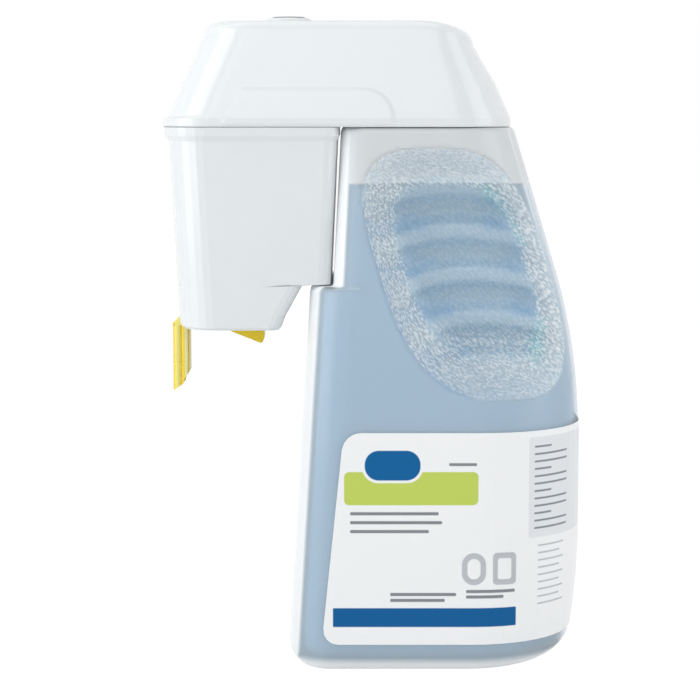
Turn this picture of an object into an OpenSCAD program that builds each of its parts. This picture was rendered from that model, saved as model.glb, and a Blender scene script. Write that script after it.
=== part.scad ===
// Detergent refill bottle with a built-in dosing head.
// A blow-moulded bottle with a pinch grip carries a moulded head: a hood, a front housing
// with the water-driven eductor inside, a discharge spout and a sprung latch bolt.
// Millimetres, +Z up. The grip is towards +X, the dosing head towards -X, and the
// origin is on the floor below the middle of the whole outline.

/* [Bottle] */
// Place of the front edge at the floor
bottle_front_x = -40; // [-44:1:-36]
// How far the front edge leans back for each millimetre of height
bottle_front_lean = 0.06; // [0.03:0.01:0.09]
// Place of the rear edge at its furthest
bottle_rear_x = 100; // [96:1:104]
// Thickness from side to side at the floor
bottle_depth = 118; // [110:1:122]
// Thickness from side to side at the shoulder
bottle_top_depth = 106; // [102:1:108]
// Height of the shoulder, where the hood begins
shoulder_z = 253.6; // [250:0.2:257]
// Height at which the rear edge starts to bend forward
rear_bend_z = 105; // [95:1:115]
// Height at which the rear edge is straight again
rear_straight_z = 185; // [178:1:192]
// Lean of the upper rear edge from upright, in degrees
rear_lean = 17.3; // [15:0.1:19]
// Wall thickness of the bottle
bottle_wall = 1.3; // [1:0.1:1.8]
// Radius of the base's edge at the front and rear
base_edge_r = 12; // [8:1:15]
// Width of the same edge at the sides
base_side_r = 6; // [4:1:10]
// How far the rear edge tucks in towards the floor
base_tuck = 6; // [3:0.5:8]
// Height of the hollow under the base
push_up = 3; // [2:0.5:4]
// Level of the detergent
fill_z = 227.3; // [205:0.1:240]

/* [Notch for the front housing] */
// Height of the ledge in the front edge
notch_z = 180; // [176:1:184]
// Place of the upper front wall just above the ledge
notch_x = -18.5; // [-20:0.5:-16]
// How far that wall leans back for each millimetre of height
notch_lean = 0.05; // [0.03:0.01:0.07]

/* [Neck] */
// Place of the neck's axis
neck_x = 26; // [24:1:28]
// Outer radius of the neck
neck_r = 18; // [16:0.5:19]
// Height of the neck above the shoulder
neck_h = 20.9; // [18:0.1:22]
// Wall thickness of the neck
neck_wall = 2; // [1.6:0.1:2.4]

/* [Grip] */
// Place of the middle of the finger hollow
grip_x = 46; // [44:1:48]
// Height of the middle of the finger hollow
grip_z = 187.5; // [184:0.5:190]
// Reach of the hollow towards the head
grip_front_reach = 44; // [38:1:48]
// Reach of the hollow towards the rear edge
grip_rear_reach = 37; // [33:1:38]
// Reach of the hollow upwards
grip_up_reach = 57; // [50:1:60]
// Reach of the hollow downwards
grip_down_reach = 60; // [54:1:64]
// Thickness left between the two finger hollows
grip_web = 57; // [48:1:62]
// Spacing of the finger grooves
groove_pitch = 20.5; // [18:0.5:23]
// Height of one groove's middle
groove_z = 195; // [190:0.5:200]
// Half the height of the waves that the fingers rest in
groove_depth = 2.4; // [1:0.1:3]

/* [Label] */
// Height of the label's lower edge
label_low_z = 13; // [12:1:20]
// Height of the label's upper edge
label_high_z = 113; // [100:1:120]
// Place of the label's front edge at its foot
label_front_x = -24; // [-26:1:-16]
// How far the label's front edge leans back for each millimetre of height
label_lean = 0.103; // [0.05:0.001:0.12]
// Corner radius of the label
label_corner_r = 8; // [4:1:12]
// Thickness of the label
label_t = 0.25; // [0.15:0.05:0.4]

/* [Hood] */
// Place of the hood's front edge
hood_front_x = -100; // [-104:1:-97]
// Height of the hood's crown above its lower edge
hood_h = 48.7; // [44:0.1:52]
// How far the front face leans in for each millimetre of height
hood_lean = 0.43; // [0.38:0.01:0.5]
// How far the rear face leans in for each millimetre of height
hood_rear_lean = 0.46; // [0.4:0.01:0.5]
// How far the front lip stands out from the front face
hood_lip = 2.6; // [1:0.2:4]
// How far the front face bows out in the middle
front_bow = 6; // [2:0.5:8]
// How far the side faces lean in for each millimetre of height
hood_side_lean = 0.09; // [0.04:0.01:0.14]
// Wall thickness of the hood
hood_wall = 2.2; // [1.8:0.1:2.6]
// Height of the upright skirt round the hood's lower edge
hood_skirt = 4; // [2:0.5:5]
// Height of the raised panel in each side
hood_panel_h = 17; // [12:1:22]
// How far the raised panels stand out
hood_panel_t = 0.6; // [0.4:0.1:1]

/* [Front housing] */
// Height of the housing's underside
housing_z = 159; // [156:0.5:162]
// Wall thickness of the housing
housing_wall = 2; // [1.6:0.1:2.4]
// Thickness from side to side at the rim
housing_top_depth = 103; // [96:1:104]
// Thickness from side to side at the underside
housing_low_depth = 88; // [80:1:94]
// Height of the rim band
rim_h = 4; // [3:0.5:5]

/* [Water inlet and eductor] */
// Place of the eductor's axis
inlet_x = -40; // [-42:1:-38]
// Outer radius of the inlet collar
collar_r = 10.5; // [9.5:0.1:11]
// How far the inlet collar stands out of the hood
collar_proud = 2.8; // [2:0.1:5]
// Radius of the inlet bore
inlet_bore_r = 4; // [3:0.1:4.5]
// Depth of the inlet bore
inlet_bore_depth = 12; // [9:0.5:13]
// Outer radius of the eductor's tail
tail_r = 6.4; // [5.5:0.1:7]
// Radius of the eductor's throat
throat_r = 2.4; // [1.8:0.1:2.8]

/* [Discharge spout] */
// Place of the spout's front face
spout_front_x = -96.4; // [-98:0.1:-95]
// Size of the spout from front to back
spout_l = 7.8; // [7:0.2:10]
// Size of the spout from side to side
spout_w = 16; // [14:1:28]
// Wall thickness of the spout
spout_wall = 1.2; // [1:0.1:1.6]
// Height of the spout's lowest point
spout_low_z = 126.2; // [118:0.1:132]

/* [Latch bolt] */
// Place of the bolt's front face
bolt_front_x = -73.4; // [-74:0.1:-72]
// Length of the bolt from front to back
bolt_l = 21.2; // [16:0.2:22]
// Width of the bolt
bolt_w = 12.6; // [8:0.2:16]
// How far the bolt stands out of the housing
bolt_proud = 9.7; // [6:0.1:11]

/* [Hidden] */

gap = 0.2;              // clearance between pieces that seat on each other
slide_gap = 0.3;        // clearance round the sliding bolt
over = 1;               // how far a cut runs past a face
$fn = 48;

function lerp(a, b, t) = a + (b - a) * t;
function ease(t) = t <= 0 ? 0 : t >= 1 ? 1 : t * t * (3 - 2 * t);
function flat(lists) = [for (list = lists) each list];
function reversed(list) = [for (i = [len(list) - 1 : -1 : 0]) list[i]];

// Side faces between rings of points, each ring with the same count. In a loop the last ring
// joins the first. The diagonals are a mirror image from point turn on.
function skin_faces(rows, count, loop, turn) = flat([
    for (r = [0 : loop ? rows - 1 : rows - 2]) flat([
        for (i = [0 : count - 1])
            let (
                a = r * count + i,
                b = r * count + (i + 1) % count,
                c = (r + 1) % rows * count + i,
                d = (r + 1) % rows * count + (i + 1) % count
            )
            i < turn ? [[a, d, c], [a, b, d]] : [[a, b, c], [b, d, c]]
    ])
]);

// The end faces of a skin: a fan to the middle of the ring, or a strip across a thin sheet
function fan(count, start, middle, top) = [
    for (i = [0 : count - 1])
        let (a = start + i, b = start + (i + 1) % count)
        top ? [a, b, middle] : [b, a, middle]
];
function strip(count, start, top) = flat([
    for (i = [0 : count / 2 - 2])
        let (a = start + i, b = a + 1, c = start + count - 2 - i, d = c + 1)
        top ? [[a, b, c], [a, c, d]] : [[b, a, c], [c, a, d]]
]);
function middle_of(ring) = [for (p = ring) 1] * ring / len(ring);

// A closed solid through a list of rings, with a face at each end. The fan of the top face runs
// to its middle, or to another point inside it.
module skin(rings, sheet = false, tip = undef) {
    count = len(rings[0]);
    rows = len(rings);
    last = (rows - 1) * count;
    tips = sheet ? []
        : [middle_of(rings[0]), is_undef(tip) ? middle_of(rings[rows - 1]) : tip];
    polyhedron(
        points = concat(flat(rings), tips),
        faces = concat(
            sheet ? strip(count, 0, false) : fan(count, 0, rows * count, false),
            skin_faces(rows, count, false, sheet ? count : count / 2),
            sheet ? strip(count, last, true) : fan(count, last, rows * count + 1, true)
        ),
        convexity = 10
    );
}

// A shell with no ends, whose rings run up the outside and back down the inside
module loop_skin(rings) {
    polyhedron(
        points = flat(rings),
        faces = skin_faces(len(rings), len(rings[0]), true, len(rings[0]) / 2),
        convexity = 10
    );
}

// A ring in the XY plane: a rounded oblong with its own corner radii in front and behind.
// steps holds the points on the half front, front corner, side, rear corner and half rear.
// Places on the side and rear corner are shares: 0 to 1 along the side, 1 to 2 round the corner.
function even_shares(steps) = concat(
    [for (i = [0 : steps[2] - 1]) i / steps[2]], [for (i = [0 : steps[3] - 1]) 1 + i / steps[3]]
);
function share_point(share, front, rear, half, front_r, rear_a, rear_b) =
    share < 1 ? [lerp(front + front_r, rear - rear_a, share), half]
    : let (a = 90 * (2 - share)) [rear - rear_a * (1 - cos(a)), half - rear_b * (1 - sin(a))];
function share_of(x, front, rear, front_r, rear_a) =
    x < rear - rear_a ? (x - front - front_r) / (rear - rear_a - front - front_r)
    : 2 - acos(min(1, (x - rear + rear_a) / rear_a)) / 90;
function half_ring(front, rear, half, front_r, rear_a, rear_b, steps, shares) = concat(
    [for (i = [0 : steps[0] - 1]) [front, (half - front_r) * i / steps[0]]],
    [for (i = [0 : steps[1] - 1]) let (a = 180 - 90 * i / steps[1])
        [front + front_r * (1 + cos(a)), half - front_r * (1 - sin(a))]],
    [for (share = shares) share_point(share, front, rear, half, front_r, rear_a, rear_b)],
    [for (i = [0 : steps[4]]) [rear, (half - rear_b) * (1 - i / steps[4])]]
);
function mirrored(points) = [
    for (i = [len(points) - 2 : -1 : 1]) [points[i][0], -points[i][1]]
];
function ring_of(front, rear, half, front_r, rear_a, rear_b, steps, shares = undef) =
    let (side = half_ring(front, rear, half, front_r, rear_a, rear_b, steps,
        is_undef(shares) ? even_shares(steps) : shares))
    concat(side, mirrored(side));
function at_z(points, z) = [for (p = points) [p[0], p[1], z]];

// The bottle's outline

bottle_steps = [3, 4, 9, 9, 2];
bottle_count = 2 * (bottle_steps[0] + bottle_steps[1] + bottle_steps[2]
    + bottle_steps[3] + bottle_steps[4]);
corner_points = bottle_steps[0] + bottle_steps[1];   // points on half of the front end
bottle_front_r = 20;    // corner radius of the front end
notch_corner_r = 12;    // the same above the notch
bottle_rear_a = [50, 26];    // rear corner along X, at the floor and at the shoulder
bottle_rear_b = [52, 34];    // rear corner along Y, at the floor and at the shoulder
notch_edge_r = 3;       // rounding of the ledge's outer edge
notch_fillet_r = 1.5;     // fillet between the ledge and the wall above it
shoulder_edge_r = 2;    // rounding where the shoulder turns in
shoulder_inset = 3;     // width of the ledge that the hood's edge sits over
shoulder_rise = 1.6;    // how far the shoulder rises to the neck
neck_z = shoulder_z + shoulder_rise;
neck_top_z = shoulder_z + neck_h;

bend_r = (rear_straight_z - rear_bend_z) / sin(rear_lean);
bend_in = bend_r * (1 - cos(rear_lean));
tuck_z = 60;            // height at which the rear edge starts to tuck in
function rear_at(z) =
    z <= tuck_z ? bottle_rear_x - base_tuck * pow(1 - z / tuck_z, 2)
    : z <= rear_bend_z ? bottle_rear_x
    : z <= rear_straight_z
        ? bottle_rear_x - bend_r + sqrt(pow(bend_r, 2) - pow(z - rear_bend_z, 2))
    : bottle_rear_x - bend_in - (z - rear_straight_z) * tan(rear_lean);
function low_front_at(z) = bottle_front_x + bottle_front_lean * z;
function notch_wall_at(z) = notch_x + notch_lean * (z - notch_z);
function taper_at(z) = ease((z - rear_bend_z) / (shoulder_z - rear_bend_z));
function half_depth_at(z) = lerp(bottle_depth, bottle_top_depth, taper_at(z)) / 2;

// How far a place on the side has sunk into the finger hollow, from 0 to 1
hollow_power = 3;       // squareness of the hollow's outline
hollow_floor = 0.58;    // share of the reach that the hollow's floor takes
function hollow_middle_at(z) = grip_x - (z - grip_z) * tan(rear_lean);
function hollow_along(z) = z < grip_z ? (grip_z - z) / grip_down_reach : (z - grip_z) / grip_up_reach;
function hollow_reach(x, z) =
    let (
        u = x - hollow_middle_at(z),
        across = u < 0 ? -u / grip_front_reach : u / grip_rear_reach
    )
    pow(pow(across, hollow_power) + pow(hollow_along(z), hollow_power), 1 / hollow_power);

// Shares whose points follow the hollow's edge and slope at a height
hollow_cuts = [1, 0.9, 0.8, 0.7, 0.58, 0.25];    // places from the edge to the middle
hollow_least = 0.4;     // least width of those places, above and below the hollow
first_cut = 0.05;       // least share of the first place, and the least step to the next
cut_step = 0.03;
edge_lead = 19;         // height over which the points move to the hollow's edge
function hollow_shares(z, front, rear, front_r, rear_a) =
    let (
        wide = max(hollow_least, pow(max(0, 1 - pow(hollow_along(z), hollow_power)),
            1 / hollow_power)),
        middle = hollow_middle_at(z),
        before = [for (i = [0 : len(hollow_cuts) - 1])
            max(first_cut + cut_step * i, share_of(
                middle - hollow_cuts[i] * wide * grip_front_reach, front, rear, front_r, rear_a))],
        after = [for (c = reversed(hollow_cuts))
            share_of(middle + c * wide * grip_rear_reach, front, rear, front_r, rear_a)],
        last = after[len(after) - 1],
        led = ease((z - grip_low_z + edge_lead) / edge_lead),
        placed = concat([0, before[0] / 2], before, after,
            [for (i = [1 : 4]) lerp(last, 2, i / 5)]),
        even = even_shares(bottle_steps)
    )
    [for (i = [0 : len(even) - 1]) lerp(even[i], placed[i], led)];
function sunk(x, z) =
    let (s = min(1, max(0, (1 - hollow_reach(x, z)) / (1 - hollow_floor))))
    1.5 * s - 0.5 * pow(s, 3);
function hollow_floor_y(z) =
    grip_web / 2 - groove_depth * cos(360 * (z - groove_z) / groove_pitch);

// Moves a point on the side in to the finger hollow. inset is the distance inside the outer face.
function pinched(p, z, inset) =
    let (
        w = sunk(p[0], z),
        slope_room = 1 + 3.2 * w * (1 - w),
        floor_y = hollow_floor_y(z) - inset * (1 - w) - inset * slope_room * w,
        side = abs(p[1]),
        drawn = side > floor_y ? lerp(side, floor_y, w) - inset * (1 + inset) * w * (1 - w) : side
    )
    [p[0], p[1] < 0 ? -drawn : drawn];

// One ring of the bottle. level is [height, front edge, height of the front end, share of the
// inset that lowers the front end]. inset shrinks the ring to make the inner face, the detergent
// and the base, and across is the same at the sides.
function bottle_ring(level, inset, across = undef) =
    let (
        z = level[0],
        t = taper_at(z),
        side_inset = is_undef(across) ? inset : across,
        half = half_depth_at(z) - side_inset,
        front_r = max(2, (z < notch_z ? bottle_front_r : notch_corner_r) - inset),
        front = level[1] + inset,
        rear = rear_at(z) - inset,
        rear_a = max(2, lerp(bottle_rear_a[0], bottle_rear_a[1], t) - inset),
        rear_b = max(2, lerp(bottle_rear_b[0], bottle_rear_b[1], t) - side_inset),
        ring = ring_of(front, rear, half, front_r, rear_a, rear_b, bottle_steps,
            hollow_shares(z, front, rear, front_r, rear_a))
    )
    [for (i = [0 : len(ring) - 1])
        let (
            at_front = i <= corner_points || i >= len(ring) - corner_points,
            p = pinched(ring[i], z, inset)
        )
        [p[0], p[1], at_front ? level[2] - inset * level[3] : z]];
function plain_level(z) = [z, z < notch_z ? low_front_at(z) : notch_wall_at(z), z, 0];

// Levels of the bottle's side, from above the base's rounded edge to under the shoulder
ledge_side_step = 2;    // how far apart the side's points lie at the ledge
grip_low_z = grip_z - grip_down_reach - 0.5;
grip_high_z = grip_z + grip_up_reach + 0.5;
groove_levels = [for (i = [-16 : 16]) groove_z + i * groove_pitch / 4];
low_levels = [
    for (t = [0, 0.26, 0.54, 0.8, 1]) plain_level(lerp(base_edge_r + 10, grip_low_z - edge_lead, t))
];
grip_levels = concat(
    [for (t = [0.3, 0.65, 1]) plain_level(grip_low_z - edge_lead * (1 - t))],
    [for (z = groove_levels) if (z > grip_low_z + 3 && z < notch_z - 7) plain_level(z)]);
ledge_levels = concat(
    [for (a = [0, 45, 90]) let (z = notch_z - notch_edge_r * (1 - sin(a)))
        [a < 90 ? z - 1 : notch_z - ledge_side_step / 2,
         low_front_at(z) + notch_edge_r * (1 - cos(a)), z, 1]],
    [for (a = [0, 45, 90]) let (z = notch_z + notch_fillet_r * (1 - cos(a)))
        [a > 0 ? z + 1.5 : notch_z + ledge_side_step / 2,
         notch_wall_at(z) - notch_fillet_r * (1 - sin(a)), z, 1]]
);
upper_low_z = notch_z + notch_fillet_r + 4;
upper_levels = concat(
    [for (z = groove_levels) if (z > upper_low_z && z < grip_high_z - 2) plain_level(z)],
    [plain_level(grip_high_z), plain_level(shoulder_z - shoulder_edge_r)]
);
side_levels = concat(low_levels, grip_levels, ledge_levels, upper_levels);

function base_ring(z, inset, across) = at_z(bottle_ring(plain_level(z), inset, across), z);
function neck_ring(z, r) = [
    for (i = [0 : bottle_count - 1]) let (a = 180 - 360 * i / bottle_count)
        [neck_x + r * cos(a), r * sin(a), z]
];
function between_rings(a, b, t, z) = [
    for (i = [0 : len(a) - 1]) [lerp(a[i][0], b[i][0], t), lerp(a[i][1], b[i][1], t), z]
];

// The body's faces, inset by a distance, from the base up to a height
function body_rings(inset, low_z, top_z) = concat(
    [for (a = [0, 30, 60, 90])
        base_ring(low_z + base_edge_r * (1 - cos(a)), inset + base_edge_r * (1 - sin(a)),
            inset + base_side_r * (1 - sin(a)))],
    [for (level = side_levels) if (level[0] < top_z - 1.5) bottle_ring(level, inset)]
);

// Rings from the shoulder's edge over to the neck
function shoulder_rings(drop, inset) =
    let (
        edge = bottle_ring(plain_level(shoulder_z), inset + shoulder_edge_r * 0.3),
        ledge = bottle_ring(plain_level(shoulder_z), inset + shoulder_inset),
        root = neck_ring(neck_z, neck_r + 2 - inset)
    )
    [
        at_z(edge, shoulder_z - shoulder_edge_r * 0.3 - drop),
        at_z(ledge, shoulder_z - drop),
        between_rings(ledge, root, 0.55, shoulder_z + shoulder_rise * 0.6 - drop),
        at_z(root, neck_z - drop)
    ];

push_up_rim = 10;       // width of the flat rim that the bottle stands on
push_up_slope = 6;      // width of the slope up into the hollow base
inner_floor_z = push_up + bottle_wall;
module bottle() {
    color([0.80, 0.86, 0.91, 0.6])
    skin(concat(
        [
            base_ring(push_up, base_edge_r + push_up_rim + push_up_slope,
                base_side_r + push_up_rim + push_up_slope),
            base_ring(0, base_edge_r + push_up_rim, base_side_r + push_up_rim)
        ],
        body_rings(0, 0, shoulder_z),
        shoulder_rings(0, 0),
        [
            neck_ring(neck_z + 1.5, neck_r),
            neck_ring(neck_top_z, neck_r),
            neck_ring(neck_top_z, neck_r - neck_wall),
            neck_ring(neck_z + 1, neck_r - neck_wall)
        ],
        reversed(shoulder_rings(bottle_wall, bottle_wall)),
        reversed(body_rings(bottle_wall, inner_floor_z, shoulder_z))
    ));
}
liquid_gap = 0.7;       // space left between the detergent and the bottle
surface_tip_x = 10;     // a point of the surface that sees all its outline, clear of the tube
module detergent() {
    inset = bottle_wall + liquid_gap;
    surface = bottle_ring(plain_level(fill_z), inset);
    color([0.35, 0.60, 0.85])
    difference() {
        skin(concat(
            body_rings(inset, inner_floor_z + liquid_gap, fill_z),
            [at_z(surface, fill_z)]
        ), tip = [surface_tip_x, 0, fill_z]);
        translate([neck_x, 0, strainer_z - gap])
            cylinder(h = strainer_h + 2 * gap, r = strainer_r + gap);
        translate([neck_x, 0, strainer_z]) rotate([0, 0, 2])
            cylinder(h = fill_z - strainer_z + over, r = dip_r + gap);
    }
}

// The label: one sheet from the near side round the rear to the far side
label_steps = [8, 12, 3];    // points on the flat side, the rear corner and half the rear
label_off = 0.25;       // space between the bottle and the label
function label_edge_at(z) =
    let (
        from_end = min(z - label_low_z, label_high_z - z),
        r = label_corner_r,
        in = from_end >= r ? 0 : r - sqrt(max(0, r * r - pow(r - from_end, 2)))
    )
    label_front_x + label_lean * (z - label_low_z) + in;
function label_half(z, off) =
    let (
        t = taper_at(z),
        half = half_depth_at(z) + off,
        rear = rear_at(z) + off,
        a = lerp(bottle_rear_a[0], bottle_rear_a[1], t) + off,
        b = lerp(bottle_rear_b[0], bottle_rear_b[1], t) + off
    )
    concat(
        [for (i = [0 : label_steps[0] - 1])
            [lerp(label_edge_at(z), rear - a, i / label_steps[0]), half, z]],
        [for (i = [0 : label_steps[1] - 1]) let (n = 90 - 90 * i / label_steps[1])
            [rear - a * (1 - cos(n)), half - b * (1 - sin(n)), z]],
        [for (i = [0 : label_steps[2]]) [rear, (half - b) * (1 - i / label_steps[2]), z]]
    );
function label_line(z, off) =
    let (half = label_half(z, off), count = len(half))
    concat(half, [for (i = [count - 2 : -1 : 0]) [half[i][0], -half[i][1], z]]);
label_corner_levels = [0, 0.03, 0.12, 0.3, 0.6, 1];
label_levels = concat(
    [for (s = label_corner_levels) label_low_z + label_corner_r * s],
    [for (s = [0.2 : 0.2 : 0.8])
        lerp(label_low_z + label_corner_r, label_high_z - label_corner_r, s)],
    [for (i = [5 : -1 : 0]) label_high_z - label_corner_r * label_corner_levels[i]]
);
module label() {
    color([0.97, 0.98, 0.98])
    skin([for (z = label_levels) concat(
        label_line(z, label_off + label_t),
        reversed(label_line(z, label_off))
    )], sheet = true);
}

// Pieces at the neck
strainer_r = 7;
strainer_h = 14;
strainer_z = inner_floor_z + 2;
dip_r = 3.5;            // outer radius of the dip tube
dip_bore_r = 2.5;
gasket_t = 1.5;
gasket_z = neck_top_z + gap;
flange_z = gasket_z + gasket_t + gap;      // underside of the insert's flange
flange_t = 1.8;
flange_top_z = flange_z + flange_t;
plug_r = neck_r - neck_wall - 0.3;      // radius of the insert's plug inside the neck
plate_t = 2;            // thickness of the chassis plate
plate_z = neck_z + gap; // underside of the chassis plate, which the collar clamps down
plug_h = 10;
plug_z = flange_z - plug_h;
socket_h = 9;           // depth of the socket for the dip tube
stub_r = 7;
suction_z = 285.6;      // height of the suction line
stub_top_z = suction_z + 5;
barb_r = 3;
barb_l = 11;
channel_r = 2;          // radius of the suction channel
vent_x = neck_x + 9.2;  // place of the vent hole in the insert's flange
vent_r = 1.4;

module neck_gasket() {
    color("gainsboro")
    translate([neck_x, 0, gasket_z])
        difference() {
            cylinder(h = gasket_t, r = neck_r - gap);
            translate([0, 0, -over]) cylinder(h = gasket_t + 2 * over, r = plug_r + gap);
        }
}

// A hose barb along X from a face, with two ridges
module barb(length, r, channel) {
    rotate([0, 90, 0])
        difference() {
            union() {
                cylinder(h = length, r = r - 0.5);
                for (x = [length - 3, length - 6.5])
                    translate([0, 0, x]) cylinder(h = 2.6, r1 = r, r2 = r - 0.5);
            }
            translate([0, 0, -over]) cylinder(h = length + 2 * over, r = channel);
        }
}

module neck_insert() {
    color("whitesmoke")
    difference() {
        union() {
            translate([neck_x, 0, flange_z]) cylinder(h = flange_t, r = neck_r - gap);
            translate([neck_x, 0, plug_z]) cylinder(h = plug_h + 0.5, r = plug_r);
            translate([neck_x, 0, plug_z - socket_h]) cylinder(h = socket_h + 0.5, r = dip_r + 2);
            translate([neck_x, 0, flange_top_z - 0.5])
                cylinder(h = stub_top_z - flange_top_z + 0.5, r = stub_r);
            translate([neck_x - stub_r + 0.5, 0, suction_z])
                mirror([1, 0, 0]) barb(barb_l + 0.5, barb_r, channel_r);
        }
        translate([neck_x, 0, plug_z - socket_h - over])
            cylinder(h = socket_h + over, r = dip_r + 0.1);
        translate([neck_x, 0, plug_z - over])
            cylinder(h = suction_z - plug_z + channel_r + over, r = channel_r);
        translate([neck_x - stub_r - over, 0, suction_z])
            rotate([0, 90, 0]) cylinder(h = stub_r + over, r = channel_r);
        translate([vent_x, 0, plug_z - over])
            cylinder(h = plug_h + flange_t + 2 * over, r = vent_r);
    }
}

// The umbrella valve that lets air in as the detergent is drawn off
vent_disc_r = 2.4;
vent_disc_t = 0.8;
vent_head_t = 0.5;
module vent_valve() {
    stem_h = plug_h + flange_t + 2 * gap;
    color("silver")
    translate([vent_x, 0, plug_z - gap]) {
        translate([0, 0, -vent_disc_t]) cylinder(h = vent_disc_t, r = vent_disc_r);
        translate([0, 0, -vent_disc_t / 2])
            cylinder(h = stem_h + vent_disc_t, r = vent_r - gap);
        translate([0, 0, stem_h]) cylinder(h = vent_head_t, r = vent_r + 0.5);
    }
}

collar_top_t = 2;
collar_low_z = plate_z + plate_t + gap;
collar_top_z = flange_top_z + gap + collar_top_t;
collar_out_r = neck_r + 5;
collar_hole_r = neck_r - 5;
collar_ribs = 36;
module neck_collar() {
    color("white")
    translate([neck_x, 0, 0])
        difference() {
            union() {
                translate([0, 0, collar_low_z])
                    cylinder(h = collar_top_z - collar_low_z, r = collar_out_r);
                for (i = [0 : collar_ribs - 1])
                    rotate([0, 0, i * 360 / collar_ribs])
                        translate([collar_out_r - 0.5, -0.5, collar_low_z])
                            cube([1.1, 1, collar_top_z - collar_low_z - 1.5]);
            }
            translate([0, 0, collar_low_z - over])
                cylinder(h = flange_top_z + gap - collar_low_z + over, r = neck_r + 0.4);
            translate([0, 0, collar_low_z])
                cylinder(h = collar_top_z - collar_low_z + over, r = collar_hole_r);
        }
}

module metering_tip() {
    color("gold")
    translate([neck_x - stub_r - barb_l + 0.3, 0, suction_z])
        rotate([0, 90, 0])
            difference() {
                cylinder(h = 6, r = channel_r - 0.1);
                translate([0, 0, -over]) cylinder(h = 6 + 2 * over, r = 0.6);
            }
}

dip_top_z = plug_z - gap;
dip_low_z = strainer_z + 3;
module dip_tube() {
    color([0.93, 0.95, 0.96])
    translate([neck_x, 0, dip_low_z])
        difference() {
            cylinder(h = dip_top_z - dip_low_z, r = dip_r);
            translate([0, 0, -over])
                cylinder(h = dip_top_z - dip_low_z + 2 * over, r = dip_bore_r);
        }
}

strainer_slots = 8;
module foot_strainer() {
    color("white")
    translate([neck_x, 0, strainer_z])
        difference() {
            cylinder(h = strainer_h, r = strainer_r);
            translate([0, 0, dip_low_z - strainer_z - gap])
                cylinder(h = strainer_h, r = dip_r + 0.1);
            translate([0, 0, -over]) cylinder(h = strainer_h, r = dip_bore_r);
            for (i = [0 : strainer_slots - 1])
                rotate([0, 0, i * 360 / strainer_slots])
                    translate([0, -0.6, -over]) cube([strainer_r + over, 1.2, over + 2]);
        }
}

// Bows the front of a ring outwards in the middle, over a length behind its front edge
bow_reach = 40;
function bowed(ring, front, half) = [for (p = ring)
    [p[0] + front_bow * pow(p[1] / half, 2) * max(0, 1 - (p[0] - front) / bow_reach), p[1]]];

// The front housing, a tapered cup with a stepped rear corner
rim_z = shoulder_z;                     // top of the front housing's rim
housing_steps = [2, 6, 3, 4, 2];
housing_count = 2 * (housing_steps[0] + housing_steps[1] + housing_steps[2]
    + housing_steps[3] + housing_steps[4]);
housing_front_r = 15;
housing_rear_r = 6;
housing_front_x = hood_front_x + 2.4;   // front face of the housing just under its rim
housing_rear_x = notch_wall_at(shoulder_z) - 1.4;
housing_front_lean = 0.048;
housing_rear_lean = 0.045;
step_low_x = -43;       // foot of the slope behind the underside
step_lean = 2;          // how far the lowest part of that slope leans back
step_top_x = -32.8;     // top of the slope
step_foot_h = 6.5;      // height of the near-upright part of the step
ledge_z = notch_z + 0.6;                // underside of the ledge over the bottle's own ledge
ledge_side_rise = 2;    // how far apart the side's points lie at the ledge
foot_chamfer = 1.2;
floor_z = housing_z + housing_wall;     // inside face of the housing's floor
function housing_rear_at(z) = housing_rear_x - housing_rear_lean * (rim_z - z);

function housing_outline(z, rear, inset) =
    let (
        t = (rim_z - z) / (rim_z - housing_z),
        front = housing_front_x + housing_front_lean * (rim_z - z) + inset,
        half = lerp(housing_top_depth, housing_low_depth, t) / 2 - inset,
        rear_r = housing_rear_r - inset / 2
    )
    bowed(ring_of(front, rear - inset, half, housing_front_r - inset, rear_r, rear_r,
        housing_steps), front, half);

// One ring of the housing: z on the sides, the place of the rear face, z on the rear face
function housing_ring(z, rear, rear_z, inset) =
    let (
        side = housing_outline(z, rear, inset),
        back = housing_outline(rear_z, rear, inset),
        start = housing_steps[0] + housing_steps[1] + housing_steps[2]
    )
    [for (i = [0 : housing_count - 1])
        i >= start && i <= housing_count - start
            ? [back[i][0], back[i][1], rear_z] : [side[i][0], side[i][1], z]];
function step_rings(inset, lift) = [
    housing_ring(housing_z + step_foot_h + lift / 2, step_low_x + step_lean,
        housing_z + step_foot_h + lift / 2, inset),
    housing_ring(ledge_z - ledge_side_rise / 2 + lift, step_top_x, ledge_z + lift, inset),
    housing_ring(ledge_z + ledge_side_rise / 2 + lift, housing_rear_at(ledge_z), ledge_z + lift,
        inset)
];
function rim_ring(z, out) = at_z(bowed(ring_of(
    hood_front_x + out, housing_rear_x + 0.6, bottle_top_depth / 2 - out,
    housing_front_r + 4, housing_rear_r, housing_rear_r, housing_steps),
    hood_front_x + out, bottle_top_depth / 2), z);
function plain_housing_ring(z, inset) = housing_ring(z, housing_rear_at(z), z, inset);
module housing_cup() {
    skin(concat(
        [
            housing_ring(housing_z, step_low_x, housing_z, foot_chamfer),
            housing_ring(housing_z + foot_chamfer, step_low_x, housing_z + foot_chamfer, 0)
        ],
        step_rings(0, 0),
        [
            plain_housing_ring(rim_z - rim_h - 2.4, 0), rim_ring(rim_z - rim_h, 0.5),
            rim_ring(rim_z, 0), plain_housing_ring(rim_z, housing_wall)
        ],
        reversed(step_rings(housing_wall, housing_wall)),
        [housing_ring(floor_z, step_low_x, floor_z, housing_wall)]
    ));
}

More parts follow.
